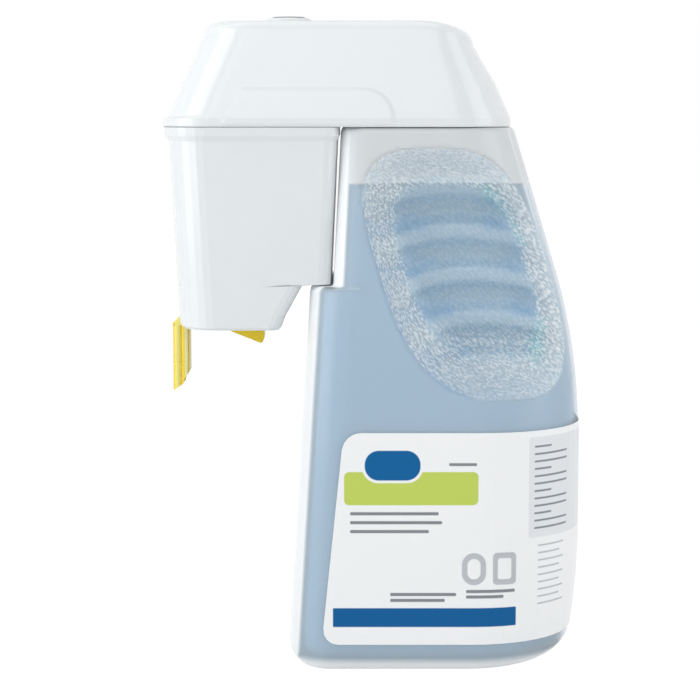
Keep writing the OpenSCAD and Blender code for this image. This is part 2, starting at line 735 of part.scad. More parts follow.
spout_rear_x = spout_front_x + spout_l;
duct_rise = 1.1;        // slope of the spout's sloping duct
duct_h = 7.5;           // height of that duct above the housing's underside
duct_top_z = housing_z + duct_h;
notch_room = 4;         // how far the spout's notch reaches past the spout
module spout_notch() {
    // the opening in the floor and front wall, whose top runs along the spout's slope
    run = 3 * notch_room;
    front = spout_front_x - notch_room;
    low = housing_z + 0.4 - notch_room * duct_rise;
    points = [
        [front, housing_z - over - notch_room], [front, low],
        [front + run, low + run * duct_rise],
        [spout_rear_x + notch_room, low + run * duct_rise],
        [spout_rear_x + notch_room, housing_z - over - notch_room]
    ];
    translate([0, spout_w / 2 + 0.4, 0])
        rotate([90, 0, 0]) linear_extrude(spout_w + 0.8) polygon(points);
}

tower_wall = 1.5;
tower_h = 28.5;         // height of the tower round the bolt
tower_top_z = housing_z + tower_h;
stop_w = 1.2;           // width of the ledge that the bolt's head rests on
stop_h = 7.5;           // height of that ledge above the housing's underside
stop_z = housing_z + stop_h;
// A box round the bolt's axis, grown on each side
module bolt_box(grow_x, grow_y, z0, z1) {
    translate([bolt_front_x - grow_x, -bolt_w / 2 - grow_y, z0])
        cube([bolt_l + 2 * grow_x, bolt_w + 2 * grow_y, z1 - z0]);
}
module front_housing() {
    color([0.93, 0.94, 0.94])
    difference() {
        union() {
            housing_cup();
            bolt_box(stop_w + slide_gap + tower_wall, slide_gap + tower_wall,
                housing_z + 0.5, tower_top_z);
        }
        spout_notch();
        bolt_box(slide_gap, slide_gap, housing_z - over, tower_top_z);
        bolt_box(stop_w + slide_gap, slide_gap, stop_z, tower_top_z + over);
    }
}

body_r = 10.6;          // outer radius of the eductor's body
// The chassis plate under the hood, which ties the front housing to the neck
hood_z = rim_z + gap;                   // lower edge of the hood
hood_front_r = 20;
hood_rear_r = 26;
hood_steps = [2, 5, 6, 6, 2];
plate_rib_t = 2;
plate_rib_h = 6;
plate_rib_l = 40;
module chassis_plate() {
    clear = hood_wall + 1.2;
    rear = rear_at(shoulder_z) - clear - 1;
    half = bottle_top_depth / 2 - clear;
    front = hood_front_x + clear;
    color("whitesmoke")
    difference() {
        union() {
            translate([0, 0, plate_z])
                linear_extrude(plate_t)
                    polygon(bowed(ring_of(front, rear, half, hood_front_r - 4, hood_rear_r - 4,
                        hood_rear_r + 4, hood_steps), front, half));
            translate([0, 0, rim_z + gap])
                linear_extrude(plate_z - rim_z)
                    difference() {
                        polygon(bowed(ring_of(front, housing_rear_x - 2, half,
                            hood_front_r - 4, 5, 5, hood_steps), front, half));
                        polygon(bowed(ring_of(front + 2, housing_rear_x - 4, half - 2,
                            hood_front_r - 6, 3, 3, hood_steps), front + 2, half - 2));
                    }
            for (y = [-1, 1])
                translate([inlet_x + body_r + 9, y * (collar_out_r + 3) - plate_rib_t / 2,
                    plate_z + plate_t - gap])
                    cube([plate_rib_l, plate_rib_t, plate_rib_h]);
        }
        translate([neck_x, 0, plate_z - over]) cylinder(h = plate_t + 2 * over, r = neck_r + 2.3);
        translate([inlet_x, 0, plate_z - over])
            cylinder(h = plate_t + 2 * over, r = body_r + gap);
    }
}

// The hood
hood_top_z = hood_z + hood_h;
crown_edge_r = 5;       // rounding of the hood's upper edge
rear_drop_x = 20;       // the crown falls away behind this
front_drop_x = -60;     // and, more gently, in front of this
function crown_drop(x) =
    x > rear_drop_x ? 0.008 * pow(x - rear_drop_x, 2)
    : x < front_drop_x ? 0.002 * pow(x - front_drop_x, 2) : 0;
function hood_side_at(z) = bottle_top_depth / 2 - hood_side_lean * max(0, z - hood_z - hood_skirt);
hood_rear_x = rear_at(shoulder_z) - 1.3;
function hood_ring(z, inset) =
    let (
        rise = max(0, z - hood_z - hood_skirt),
        front = hood_front_x + (rise > 0 ? hood_lip : 0) + hood_lean * rise + inset,
        half = hood_side_at(z) - inset
    )
    bowed(ring_of(
        front, hood_rear_x - hood_rear_lean * rise - inset, half,
        hood_front_r - inset * 0.5, hood_rear_r - inset * 0.5 - rise * 0.2,
        hood_rear_r + 8 - inset * 0.8 - rise * 0.2, hood_steps
    ), front, half);
function hood_top_ring(inset, drop) =
    [for (p = hood_ring(hood_top_z - crown_edge_r, inset))
        [p[0], p[1], hood_top_z - drop - crown_drop(p[0])]];
function collar_hole_ring(drop) =
    [for (p = hood_ring(hood_top_z - crown_edge_r, 0))
        let (
            away = [p[0] - inlet_x, p[1]],
            at = [inlet_x, 0] + (collar_r + collar_gap) * away / norm(away)
        )
        [at[0], at[1], hood_top_z - drop - crown_drop(at[0])]];
function crown_ring(inset, drop, t) =
    let (
        outline = hood_top_ring(inset + crown_edge_r, drop),
        hole = collar_hole_ring(drop)
    )
    [for (i = [0 : len(hole) - 1])
        let (x = lerp(outline[i][0], hole[i][0], t), y = lerp(outline[i][1], hole[i][1], t))
        [x, y, hood_top_z - drop - crown_drop(x)]];
collar_gap = 0.5;       // space round the inlet collar in the hood's hole
function hood_face_rings(inset, low_z) = concat(
    [at_z(hood_ring(low_z, inset), low_z)],
    [for (t = [0, 0.02, 0.33, 0.68]) let (z = hood_z + lerp(hood_skirt, hood_h - crown_edge_r, t))
        at_z(hood_ring(z, inset), z)],
    [for (a = [0, 25, 50, 75])
        hood_top_ring(inset + crown_edge_r * (1 - cos(a)), inset + crown_edge_r * (1 - sin(a)))],
    [for (t = [0, 0.3, 0.6, 1]) crown_ring(inset, inset, t)]
);
panel_front = 27.5;     // from the hood's front edge to the raised panel's foot
panel_rear_x = 9.5;
panel_corner_r = 14;
// A raised panel on the near side, which lies on the hood's leaning side face
module side_panel() {
    foot = hood_z + 0.8;
    top = foot + hood_panel_h;
    front = hood_front_x + panel_front;
    outline = concat(
        [[front, foot], [front + hood_panel_h * 0.6, top - 1.5],
         [front + hood_panel_h * 0.6 + 3, top]],
        [for (a = [90 : -18 : 18])
            [panel_rear_x - panel_corner_r * (1.15 - cos(a)), top - panel_corner_r * (1 - sin(a))]],
        [[panel_rear_x, foot]]
    );
    skin([
        [for (p = reversed(outline)) [p[0], -hood_side_at(p[1]) - hood_panel_t, p[1]]],
        [for (p = reversed(outline)) [p[0], -hood_side_at(p[1]) + hood_wall / 2, p[1]]]
    ]);
}
module hood() {
    color([0.94, 0.95, 0.95])
    union() {
        loop_skin(concat(
            hood_face_rings(0, hood_z), reversed(hood_face_rings(hood_wall, hood_z))
        ));
        side_panel();
        mirror([0, 1, 0]) side_panel();
    }
}

// The water inlet, whose collar stands out of the hood
inlet_top_z = hood_top_z + collar_proud;
port_flange_t = 2;
port_flange_z = hood_top_z - hood_wall - port_flange_t - gap;
spigot_r = 8;
spigot_h = 4;
bore_low_z = inlet_top_z - inlet_bore_depth;
seal_ring_r = 7.2;
seal_cord_r = 0.9;
module inlet_port() {
    color("white")
    translate([inlet_x, 0, 0])
        difference() {
            union() {
                translate([0, 0, port_flange_z])
                    cylinder(h = inlet_top_z - port_flange_z - 0.8, r = collar_r);
                translate([0, 0, inlet_top_z - 0.8])
                    cylinder(h = 0.8, r1 = collar_r, r2 = collar_r - 0.8);
                translate([0, 0, port_flange_z]) cylinder(h = port_flange_t, r = collar_r + 2.5);
                translate([0, 0, port_flange_z - spigot_h])
                    cylinder(h = spigot_h + 0.5, r = spigot_r);
            }
            translate([0, 0, bore_low_z]) cylinder(h = inlet_bore_depth + over, r = inlet_bore_r);
            translate([0, 0, port_flange_z - spigot_h - over])
                cylinder(h = bore_low_z - port_flange_z + spigot_h + 2 * over, r = 2.6);
            translate([0, 0, inlet_top_z - 1.4])
                difference() {
                    cylinder(h = 2, r = seal_ring_r + seal_cord_r + 0.15);
                    translate([0, 0, -over])
                        cylinder(h = 2 + 2 * over, r = seal_ring_r - seal_cord_r - 0.15);
                }
        }
}
module inlet_face_seal() {
    color([0.25, 0.27, 0.3])
    translate([inlet_x, 0, inlet_top_z - 1.3 + seal_cord_r])
        rotate_extrude() translate([seal_ring_r, 0]) circle(r = seal_cord_r, $fn = 24);
}
screen_t = 0.8;
screen_z = port_flange_z - spigot_h - gap - screen_t;
module inlet_screen() {
    color("silver")
    translate([inlet_x, 0, screen_z])
        difference() {
            cylinder(h = screen_t, r = spigot_r);
            for (i = [0 : 5])
                rotate([0, 0, 60 * i])
                    translate([1.7, 0, -over]) cylinder(h = screen_t + 2 * over, r = 0.6);
        }
}

jet_top_z = screen_z - gap;
jet_t = 2;
jet_tip_z = suction_z - 2;
module jet_nozzle() {
    color("gold")
    translate([inlet_x, 0, 0])
        difference() {
            union() {
                translate([0, 0, jet_top_z - jet_t]) cylinder(h = jet_t, r = spigot_r);
                translate([0, 0, jet_tip_z])
                    cylinder(h = jet_top_z - jet_t - jet_tip_z + 0.3, r1 = 2, r2 = 4);
            }
            translate([0, 0, jet_tip_z - over])
                cylinder(h = jet_top_z - jet_tip_z + 2 * over, r = 1.1);
            translate([0, 0, jet_top_z - jet_t]) cylinder(h = jet_t + over, r1 = 1.1, r2 = 3);
        }
}

seat_z = plate_z + plate_t + gap;       // underside of the eductor's flange
body_top_z = port_flange_z - gap;
chamber_z = suction_z - 5;
tail_h = 22;            // length of the eductor's narrow tail
tube_rise = 33;         // from the spout's duct up to the delivery tube's level run
run_z = duct_top_z + tube_rise;
tail_low_z = run_z + 16;
tail_top_z = tail_low_z + tail_h;
module eductor_body() {
    color("whitesmoke")
    translate([inlet_x, 0, 0])
        difference() {
            union() {
                translate([0, 0, tail_top_z - 0.5])
                    cylinder(h = body_top_z - tail_top_z + 0.5, r = body_r);
                translate([0, 0, seat_z]) cylinder(h = 2.2, r = body_r + 4);
                translate([0, 0, tail_low_z]) cylinder(h = tail_top_z - tail_low_z, r = tail_r);
                translate([body_r - 0.5, 0, suction_z]) barb(barb_l + 0.5, barb_r, channel_r);
            }
            translate([0, 0, jet_top_z - jet_t - gap])
                cylinder(h = body_top_z - jet_top_z + jet_t + gap + over, r = spigot_r + 0.2);
            translate([0, 0, chamber_z])
                cylinder(h = jet_top_z - jet_t - gap - chamber_z + over, r = 5);
            translate([0, 0, tail_low_z - over])
                cylinder(h = chamber_z - tail_low_z + 2 * over, r = throat_r);
            translate([0, 0, tail_low_z - over]) cylinder(h = 18, r1 = 4.4, r2 = throat_r);
            translate([0, 0, suction_z])
                rotate([0, 90, 0]) cylinder(h = body_r + over, r = channel_r);
        }
}

// The duckbill valve in the eductor's suction port
module check_valve() {
    color([0.3, 0.3, 0.32])
    translate([inlet_x + body_r - 0.4, 0, suction_z])
        rotate([0, 90, 0])
            difference() {
                union() {
                    cylinder(h = 5, r = channel_r - 0.1);
                    translate([-1.3, -0.6, -3]) cube([2.6, 1.2, 3.1]);
                }
                translate([0, 0, 0.5]) cylinder(h = 5, r = 1.1);
                translate([-1, -0.1, -3 - over]) cube([2, 0.2, 5]);
            }
}

hose_wall = 1.5;
hose_x0 = inlet_x + body_r + 0.5;
hose_x1 = neck_x - stub_r - 0.5;
module suction_hose() {
    color([0.85, 0.9, 0.93])
    translate([hose_x0, 0, suction_z])
        rotate([0, 90, 0])
            difference() {
                cylinder(h = hose_x1 - hose_x0, r = barb_r + 0.1 + hose_wall);
                translate([0, 0, -over])
                    cylinder(h = hose_x1 - hose_x0 + 2 * over, r = barb_r + 0.1);
            }
}

// The tube from the eductor's tail forward to the spout
tube_r = 5;
tube_bore_r = 3.8;
bend_turn_r = 14;
socket_r = 6.9;         // outer radius of the spout's socket
socket_x = bolt_front_x - stop_w - slide_gap - tower_wall - slide_gap - socket_r;
cup_r = tail_r + 2;
module elbow_quarter(r) {
    rotate([90, 0, 0])
        rotate_extrude(angle = 90) translate([bend_turn_r, 0]) circle(r = r, $fn = 32);
}
module tube_path(r, tail) {
    // down from the tail, a bend forward, the level run, and a bend down to the socket
    translate([inlet_x, 0, run_z + bend_turn_r])
        cylinder(h = tail_low_z - run_z - bend_turn_r + tail, r = r);
    translate([inlet_x - bend_turn_r, 0, run_z + bend_turn_r])
        mirror([0, 0, 1]) elbow_quarter(r);
    translate([inlet_x - bend_turn_r, 0, run_z])
        rotate([0, -90, 0]) cylinder(h = inlet_x - 2 * bend_turn_r - socket_x, r = r);
    translate([socket_x + bend_turn_r, 0, run_z - bend_turn_r])
        mirror([1, 0, 0]) elbow_quarter(r);
    translate([socket_x, 0, duct_top_z + 5 - tail])
        cylinder(h = run_z - bend_turn_r - duct_top_z - 5 + tail, r = r);
}
cup_h = 8;
module delivery_tube() {
    color([0.9, 0.92, 0.94])
    difference() {
        union() {
            tube_path(tube_r, 0);
            translate([inlet_x, 0, tail_low_z - 1.5]) cylinder(h = cup_h + 1.5, r = cup_r);
        }
        tube_path(tube_bore_r, over);
        translate([inlet_x, 0, tail_low_z - gap])
            cylinder(h = cup_h + over, r = tail_r + 0.1);
    }
}

// The discharge spout: a flattened fluted tube with a sloping duct and a round socket above it
socket_h_out = 14;
socket_top_z = duct_top_z + socket_h_out;
seal_z = duct_top_z + 8;
flange_low_z = floor_z + gap;
spout_flange_t = 1.8;
spout_flange_w = spout_w + 8;
spout_flange_l = 13;
module duct(front_in, rear_in, low_z, top_z, width) {
    // the sloping duct, seen from the side, drawn across the spout's width
    rise = duct_rise;
    f = spout_front_x + front_in;
    b = spout_rear_x - rear_in;
    points = [
        [f, low_z], [f, housing_z], [f + (top_z - housing_z) / rise, top_z],
        [b + (top_z - housing_z) / rise, top_z], [b, housing_z], [b, low_z]
    ];
    translate([0, width / 2, 0]) rotate([90, 0, 0]) linear_extrude(width) polygon(points);
}
flute_r = 2.1;
module spout_foot_cut() {
    // the slanted foot, whose front half reaches lower than its rear half
    low = spout_low_z;
    f = spout_front_x;
    points = [
        [f - 3, low - 6], [f - 3, low - 2], [f, low], [f + 4.9, low + 3.3], [f + 5.3, low + 5.4],
        [f + spout_l, low + 9.2], [f + spout_l + 4, low + 13], [f + spout_l + 4, low - 6]
    ];
    translate([0, 40, 0]) rotate([90, 0, 0]) linear_extrude(80) polygon(points);
}
module discharge_spout() {
    w = spout_wall;
    color([1, 0.85, 0])
    difference() {
        union() {
            translate([spout_front_x, -spout_w / 2 + 1.4, spout_low_z])
                cube([spout_l, spout_w - 2.8, housing_z - spout_low_z + 0.01]);
            for (y = [-1, 1], x = [flute_r, spout_l - flute_r])
                translate([spout_front_x + x, y * (spout_w / 2 - flute_r), spout_low_z])
                    cylinder(h = housing_z - spout_low_z, r = flute_r);
            duct(0, 0, housing_z - 1, duct_top_z, spout_w);
            translate([socket_x - socket_r + gap, -spout_flange_w / 2, flange_low_z])
                cube([spout_flange_l, spout_flange_w, spout_flange_t]);
            translate([socket_x, 0, flange_low_z]) cylinder(h = socket_top_z - flange_low_z, r = socket_r);
        }
        translate([spout_front_x + w, -spout_w / 2 + w + 1.4, spout_low_z - over])
            cube([spout_l - 2 * w, spout_w - 2 * w - 2.8, housing_z - spout_low_z + 2 * over]);
        duct(w, w, housing_z - 0.5, duct_top_z - 1.4, spout_w - 2 * w - 2.8);
        translate([socket_x, 0, duct_top_z - 4]) cylinder(h = 20, r = tube_bore_r);
        translate([socket_x, 0, duct_top_z + 5 - gap]) cylinder(h = 20, r = tube_r + 0.2);
        translate([socket_x, 0, seal_z]) cylinder(h = 2.4, r = tube_r + 1.2);
        spout_foot_cut();
    }
}
module outlet_seal() {
    color([0.25, 0.27, 0.3])
    translate([socket_x, 0, seal_z + 0.1])
        difference() {
            cylinder(h = 2.2, r = tube_r + 1.1);
            translate([0, 0, -over]) cylinder(h = 5, r = tube_r + 0.1);
        }
}

// The sprung latch bolt under the housing
bolt_low_z = housing_z - bolt_proud;
bolt_mid_x = bolt_front_x + bolt_l / 2;
head_h = 6;             // height of the bolt's head above the ledge
bolt_top_z = stop_z + head_h;
stop_gap = 0.1;         // the bolt's head clears its ledge by this at rest
post_r = 2.2;
post_h = 3;
cap_t = 2;
spring_low_z = bolt_top_z + gap;
spring_high_z = tower_top_z - cap_t - gap;
module latch_bolt() {
    points = [
        [bolt_front_x, bolt_top_z], [bolt_front_x, housing_z - 2],
        [bolt_rear_x - 2, bolt_low_z], [bolt_rear_x - 0.8, bolt_low_z + 0.3],
        [bolt_rear_x, bolt_low_z + 2.4], [bolt_rear_x, bolt_top_z]
    ];
    color([1, 0.87, 0])
    union() {
        translate([0, bolt_w / 2, 0]) rotate([90, 0, 0]) linear_extrude(bolt_w) polygon(points);
        bolt_box(stop_w, 0, stop_z + stop_gap, bolt_top_z);
        translate([bolt_mid_x, 0, bolt_top_z - over]) cylinder(h = post_h + over, r = post_r);
    }
}
bolt_rear_x = bolt_front_x + bolt_l;

// A round wire swept along a coil
wire_r = 0.45;
coil_r = 3.4;
coil_turns = 5;
wire_sides = 6;
steps_per_turn = 14;
function coil_ring(i) =
    let (
        total = coil_turns * steps_per_turn,
        a = 360 * i / steps_per_turn,
        z = lerp(spring_low_z + wire_r, spring_high_z - wire_r, i / total)
    )
    [for (k = [0 : wire_sides - 1]) let (b = -360 * k / wire_sides, r = coil_r + wire_r * cos(b))
        [bolt_mid_x + r * cos(a), r * sin(a), z + wire_r * sin(b)]];
module latch_spring() {
    color("silver")
    skin([for (i = [0 : coil_turns * steps_per_turn]) coil_ring(i)]);
}
cap_flange_t = 1.4;
module spring_cap() {
    color("white")
    difference() {
        union() {
            bolt_box(stop_w, 0, tower_top_z - cap_t, tower_top_z + gap);
            bolt_box(stop_w + tower_wall, tower_wall, tower_top_z + gap,
                tower_top_z + gap + cap_flange_t);
        }
        translate([bolt_mid_x, 0, tower_top_z - cap_t - over])
            cylinder(h = cap_t + cap_flange_t + 3 * over, r = post_r - 0.8);
    }
}

bottle();
detergent();
label();
neck_gasket();
neck_insert();
neck_collar();
vent_valve();
metering_tip();
dip_tube();
foot_strainer();
chassis_plate();
front_housing();
hood();
inlet_port();
inlet_face_seal();
inlet_screen();
jet_nozzle();
eductor_body();
check_valve();
suction_hose();
delivery_tube();
outlet_seal();
discharge_spout();
latch_bolt();
latch_spring();
spring_cap();
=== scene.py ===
# %% [markdown]
# # A detergent refill bottle with a dosing head
# The object is a milky bottle of blue detergent with a pinch grip in each side. A white head
# covers its neck and hangs down in front of it, with a yellow spout and a yellow latch bolt.
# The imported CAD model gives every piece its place. This script gives each one its finish, and
# models again the pieces whose surface needs more than the CAD solid holds.

# %% Load the frame
import math

import bpy
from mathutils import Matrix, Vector


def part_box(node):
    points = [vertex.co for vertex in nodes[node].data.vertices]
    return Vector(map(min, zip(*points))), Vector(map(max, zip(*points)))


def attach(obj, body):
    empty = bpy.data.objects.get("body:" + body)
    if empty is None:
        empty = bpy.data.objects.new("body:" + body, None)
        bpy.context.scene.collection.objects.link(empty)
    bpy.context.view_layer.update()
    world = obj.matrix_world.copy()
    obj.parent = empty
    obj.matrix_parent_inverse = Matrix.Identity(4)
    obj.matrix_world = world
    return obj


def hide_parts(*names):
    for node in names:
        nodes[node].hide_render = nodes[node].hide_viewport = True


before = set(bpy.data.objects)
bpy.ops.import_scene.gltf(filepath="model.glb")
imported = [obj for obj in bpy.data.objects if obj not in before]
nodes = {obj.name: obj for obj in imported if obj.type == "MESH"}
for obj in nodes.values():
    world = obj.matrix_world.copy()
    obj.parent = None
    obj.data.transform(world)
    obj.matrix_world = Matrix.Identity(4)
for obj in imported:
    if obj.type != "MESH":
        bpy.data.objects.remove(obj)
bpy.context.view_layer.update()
MM = 0.001
HEAD = "bottle_and_head"

# %% [markdown]
# ## The camera
# The photograph looks at the object's side from a little above, from about a metre away, so
# verticals stay almost parallel. The camera stands in front of the near side and is tilted down,
# with a long lens. No shift is needed.

# %% Camera
CAMERA_AT = Vector((-10.7, -1050.0, 261.6)) * MM
CAMERA_PITCH = 6.33
camera_data = bpy.data.cameras.new("camera")
camera_data.lens = 111.3
camera_data.sensor_width = 36
camera_data.clip_start = 0.05
camera_data.clip_end = 50
camera = bpy.data.objects.new("camera", camera_data)
bpy.context.scene.collection.objects.link(camera)
camera.location = CAMERA_AT
camera.rotation_euler = (math.radians(90 - CAMERA_PITCH), 0, 0)
bpy.context.scene.camera = camera
print("camera at", tuple(round(v, 3) for v in CAMERA_AT))

# %% [markdown]
# ## Helpers for materials
# A material is a small network of nodes. These helpers keep each network short to write: one
# adds a node and sets its values, one links two sockets, and one does a step of arithmetic.


# %% Node helpers
def add_node(tree, kind, **inputs):
    """Adds a shader node. Keywords set the inputs of the same name, with _ for a space."""
    node = tree.nodes.new(kind)
    for name, value in inputs.items():
        socket = node.inputs[name.replace("_", " ")]
        if isinstance(value, bpy.types.NodeSocket):
            tree.links.new(value, socket)
        else:
            socket.default_value = value
    return node


def maths(tree, operation, *values, clamp=False):
    """One Math node; a value may be a number or another node's output."""
    node = tree.nodes.new("ShaderNodeMath")
    node.operation = operation
    node.use_clamp = clamp
    for socket, value in zip(node.inputs, values):
        if isinstance(value, bpy.types.NodeSocket):
            tree.links.new(value, socket)
        else:
            socket.default_value = value
    return node.outputs[0]


def blend_colours(tree, share, first, second):
    """Mixes two colours, by a number or by a mask from 0 to 1."""
    node = tree.nodes.new("ShaderNodeMix")
    node.data_type = "RGBA"
    for socket, value in ((node.inputs[0], share), (node.inputs[6], first), (node.inputs[7], second)):
        if isinstance(value, bpy.types.NodeSocket):
            tree.links.new(value, socket)
        else:
            socket.default_value = value
    return node.outputs[2]


def remap(tree, value, low, high, to_low=0.0, to_high=1.0):
    """Maps a value from one range to another, held at the ends."""
    node = tree.nodes.new("ShaderNodeMapRange")
    node.interpolation_type = "SMOOTHSTEP"
    tree.links.new(value, node.inputs[0])
    for socket, number in zip(node.inputs[1:5], (low, high, to_low, to_high)):
        socket.default_value = number
    return node.outputs[0]


def new_material(name, colour, roughness, **more):
    """A material with one Principled shader, and its plain values."""
    material = bpy.data.materials.new(name)
    material.use_nodes = True
    tree = material.node_tree
    shader = tree.nodes["Principled BSDF"]
    shader.inputs["Base Color"].default_value = (*colour, 1)
    shader.inputs["Roughness"].default_value = roughness
    for key, value in more.items():
        shader.inputs[key.replace("_", " ")].default_value = value
    return material, tree, shader


def object_place(tree):
    return tree.nodes.new("ShaderNodeTexCoord").outputs["Object"]


# %% [markdown]
# ## A group for the skin of moulded plastic
# No moulding is perfectly flat or evenly glossy. It has long soft waves from shrinkage and a fine
# grain from the tool. Several pieces share that, so it is one node group with named inputs: the
# size of the grain, the depth of the waves, and the roughness to vary.


# %% The moulded skin group
def build_moulded_skin():
    group = bpy.data.node_groups.new("moulded_skin", "ShaderNodeTree")
    face = group.interface
    face.new_socket("Colour", in_out="INPUT", socket_type="NodeSocketColor")
    for name, value in (("Grain scale", 900.0), ("Grain depth", 0.03), ("Wave depth", 0.12),
                        ("Roughness", 0.3), ("Colour change", 0.03)):
        socket = face.new_socket(name, in_out="INPUT", socket_type="NodeSocketFloat")
        socket.default_value = value
    face.new_socket("Colour", in_out="OUTPUT", socket_type="NodeSocketColor")
    face.new_socket("Roughness", in_out="OUTPUT", socket_type="NodeSocketFloat")
    face.new_socket("Height", in_out="OUTPUT", socket_type="NodeSocketFloat")
    enter = group.nodes.new("NodeGroupInput")
    leave = group.nodes.new("NodeGroupOutput")
    place = object_place(group)
    wave = add_node(group, "ShaderNodeTexNoise", Vector=place, Scale=28.0, Detail=2.0)
    grain = add_node(group, "ShaderNodeTexNoise", Vector=place, Detail=3.0)
    group.links.new(enter.outputs["Grain scale"], grain.inputs["Scale"])
    smear = add_node(group, "ShaderNodeTexNoise", Vector=place, Scale=90.0, Detail=4.0)
    height = maths(
        group, "ADD",
        maths(group, "MULTIPLY", wave.outputs[0], enter.outputs["Wave depth"]),
        maths(group, "MULTIPLY", grain.outputs[0], enter.outputs["Grain depth"]),
    )
    change = maths(
        group, "MULTIPLY",
        maths(group, "SUBTRACT", smear.outputs[0], 0.5), enter.outputs["Colour change"],
    )
    tone = group.nodes.new("ShaderNodeHueSaturation")
    group.links.new(enter.outputs["Colour"], tone.inputs["Color"])
    group.links.new(maths(group, "ADD", change, 1.0), tone.inputs["Value"])
    rough = maths(
        group, "MULTIPLY", enter.outputs["Roughness"],
        maths(group, "ADD", maths(group, "MULTIPLY", smear.outputs[0], 0.4), 0.8),
    )
    group.links.new(tone.outputs[0], leave.inputs["Colour"])
    group.links.new(rough, leave.inputs["Roughness"])
    group.links.new(height, leave.inputs["Height"])
    return group


MOULDED_SKIN = build_moulded_skin()


def moulded_plastic(name, colour, roughness, grain=900.0, grain_depth=0.03, wave=0.12,
                    change=0.03, bump=0.0006, **more):
    """A moulded plastic with the shared skin."""
    material, tree, shader = new_material(name, colour, roughness, **more)
    skin = tree.nodes.new("ShaderNodeGroup")
    skin.node_tree = MOULDED_SKIN
    for key, value in (("Colour", (*colour, 1)), ("Grain scale", grain),
                       ("Grain depth", grain_depth), ("Wave depth", wave),
                       ("Roughness", roughness), ("Colour change", change)):
        skin.inputs[key].default_value = value
    raised = add_node(tree, "ShaderNodeBump", Strength=1.0, Distance=bump,
                      Height=skin.outputs["Height"])
    tree.links.new(skin.outputs["Colour"], shader.inputs["Base Color"])
    tree.links.new(skin.outputs["Roughness"], shader.inputs["Roughness"])
    tree.links.new(raised.outputs[0], shader.inputs["Normal"])
    return material


def dress(name, material):
    """Gives a CAD node its material and smooths its round faces."""
    piece = nodes[name]
    piece.data.materials.clear()
    piece.data.materials.append(material)
    bpy.ops.object.select_all(action="DESELECT")
    piece.select_set(True)
    bpy.context.view_layer.objects.active = piece
    bpy.ops.object.shade_smooth_by_angle(angle=math.radians(32))


# %% [markdown]
# ## Plastics of the dosing head
# The hood and the front housing are glossy white polypropylene. The photograph shows them a
# cool pale grey in the middle of each face, and white where an edge turns to the light. The
# yellow spout and the latch bolt are the same plastic in a strong yellow, a little clear.

# %% Shell, inner and yellow plastics
white_shell = moulded_plastic("white_shell", (0.82, 0.85, 0.86), 0.24, wave=0.2,
                              Coat_Weight=0.25, Coat_Roughness=0.08,
                              Subsurface_Weight=0.08, Subsurface_Radius=(0.004, 0.004, 0.004))
white_inner = moulded_plastic("white_inner", (0.82, 0.83, 0.83), 0.42)
yellow_plastic = moulded_plastic("yellow_plastic", (0.98, 0.70, 0.005), 0.22, change=0.05,
                                 Coat_Weight=0.1, Coat_Roughness=0.2,
                                 Subsurface_Weight=0.25, Subsurface_Radius=(0.006, 0.004, 0.001))
for name in ("hood", "front_housing", "inlet_port"):
    dress(name, white_shell)
for name in ("neck_insert", "neck_collar", "foot_strainer", "chassis_plate", "eductor_body",
             "spring_cap"):
    dress(name, white_inner)
for name in ("latch_bolt", "metering_tip", "jet_nozzle"):
    dress(name, yellow_plastic)
print("plastics on the head")

# %% [markdown]
# Each of the spout's thin flutes is pale in its middle and a deeper yellow at its edges. The pale
# middle is a painted highlight: bands along the X axis paint it onto each flute.

# %% The spout's tones and painted highlights
spout_yellow, tree, shader = new_material("spout_yellow", (0.93, 0.80, 0.20), 0.3)
across = maths(tree, "MULTIPLY", add_node(tree, "ShaderNodeSeparateXYZ",
                                          Vector=object_place(tree)).outputs["X"], 1 / MM)
# Masks for the painted highlight down the middle of each flute
front_flute_highlight = maths(tree, "MULTIPLY", remap(tree, across, -95.9, -94.9),
                    remap(tree, across, -92.9, -92.1, 1.0, 0.0))
rear_flute_highlight = maths(tree, "MULTIPLY", remap(tree, across, -91.0, -90.4),
                   remap(tree, across, -89.6, -89.0, 1.0, 0.0))
grain = add_node(tree, "ShaderNodeTexNoise", Vector=object_place(tree), Scale=420.0, Detail=2.0)
tone = blend_colours(tree, grain.outputs[0], (0.86, 0.60, 0.02, 1), (0.92, 0.68, 0.04, 1))
tone = blend_colours(tree, maths(tree, "MULTIPLY", front_flute_highlight, 0.85), tone, (0.95, 0.86, 0.24, 1))
tone = blend_colours(tree, maths(tree, "MULTIPLY", rear_flute_highlight, 0.95), tone, (0.98, 0.94, 0.50, 1))
tree.links.new(tone, shader.inputs["Base Color"])
dress("discharge_spout", spout_yellow)

# %% [markdown]
# ## Rubber, tube and steel
# The seals and valves are dark moulded rubber with a dull bloom. The tubes are natural
# polyethylene, slightly cloudy. The spring and the screen are bright steel with fine drawing
# marks along the wire.

# %% Rubber, tube and steel
seal_rubber = moulded_plastic("seal_rubber", (0.05, 0.055, 0.06), 0.6, grain=1500.0,
                              grain_depth=0.2, change=0.2)
clear_tube = moulded_plastic("clear_tube", (0.80, 0.85, 0.88), 0.3, change=0.04)
spring_steel = moulded_plastic("spring_steel", (0.66, 0.67, 0.68), 0.28, grain=2500.0,
                               grain_depth=0.1, Metallic=1.0)
for name in ("neck_gasket", "vent_valve", "inlet_face_seal", "check_valve", "outlet_seal"):
    dress(name, seal_rubber)
for name in ("dip_tube", "suction_hose", "delivery_tube"):
    dress(name, clear_tube)
for name in ("latch_spring", "inlet_screen"):
    dress(name, spring_steel)
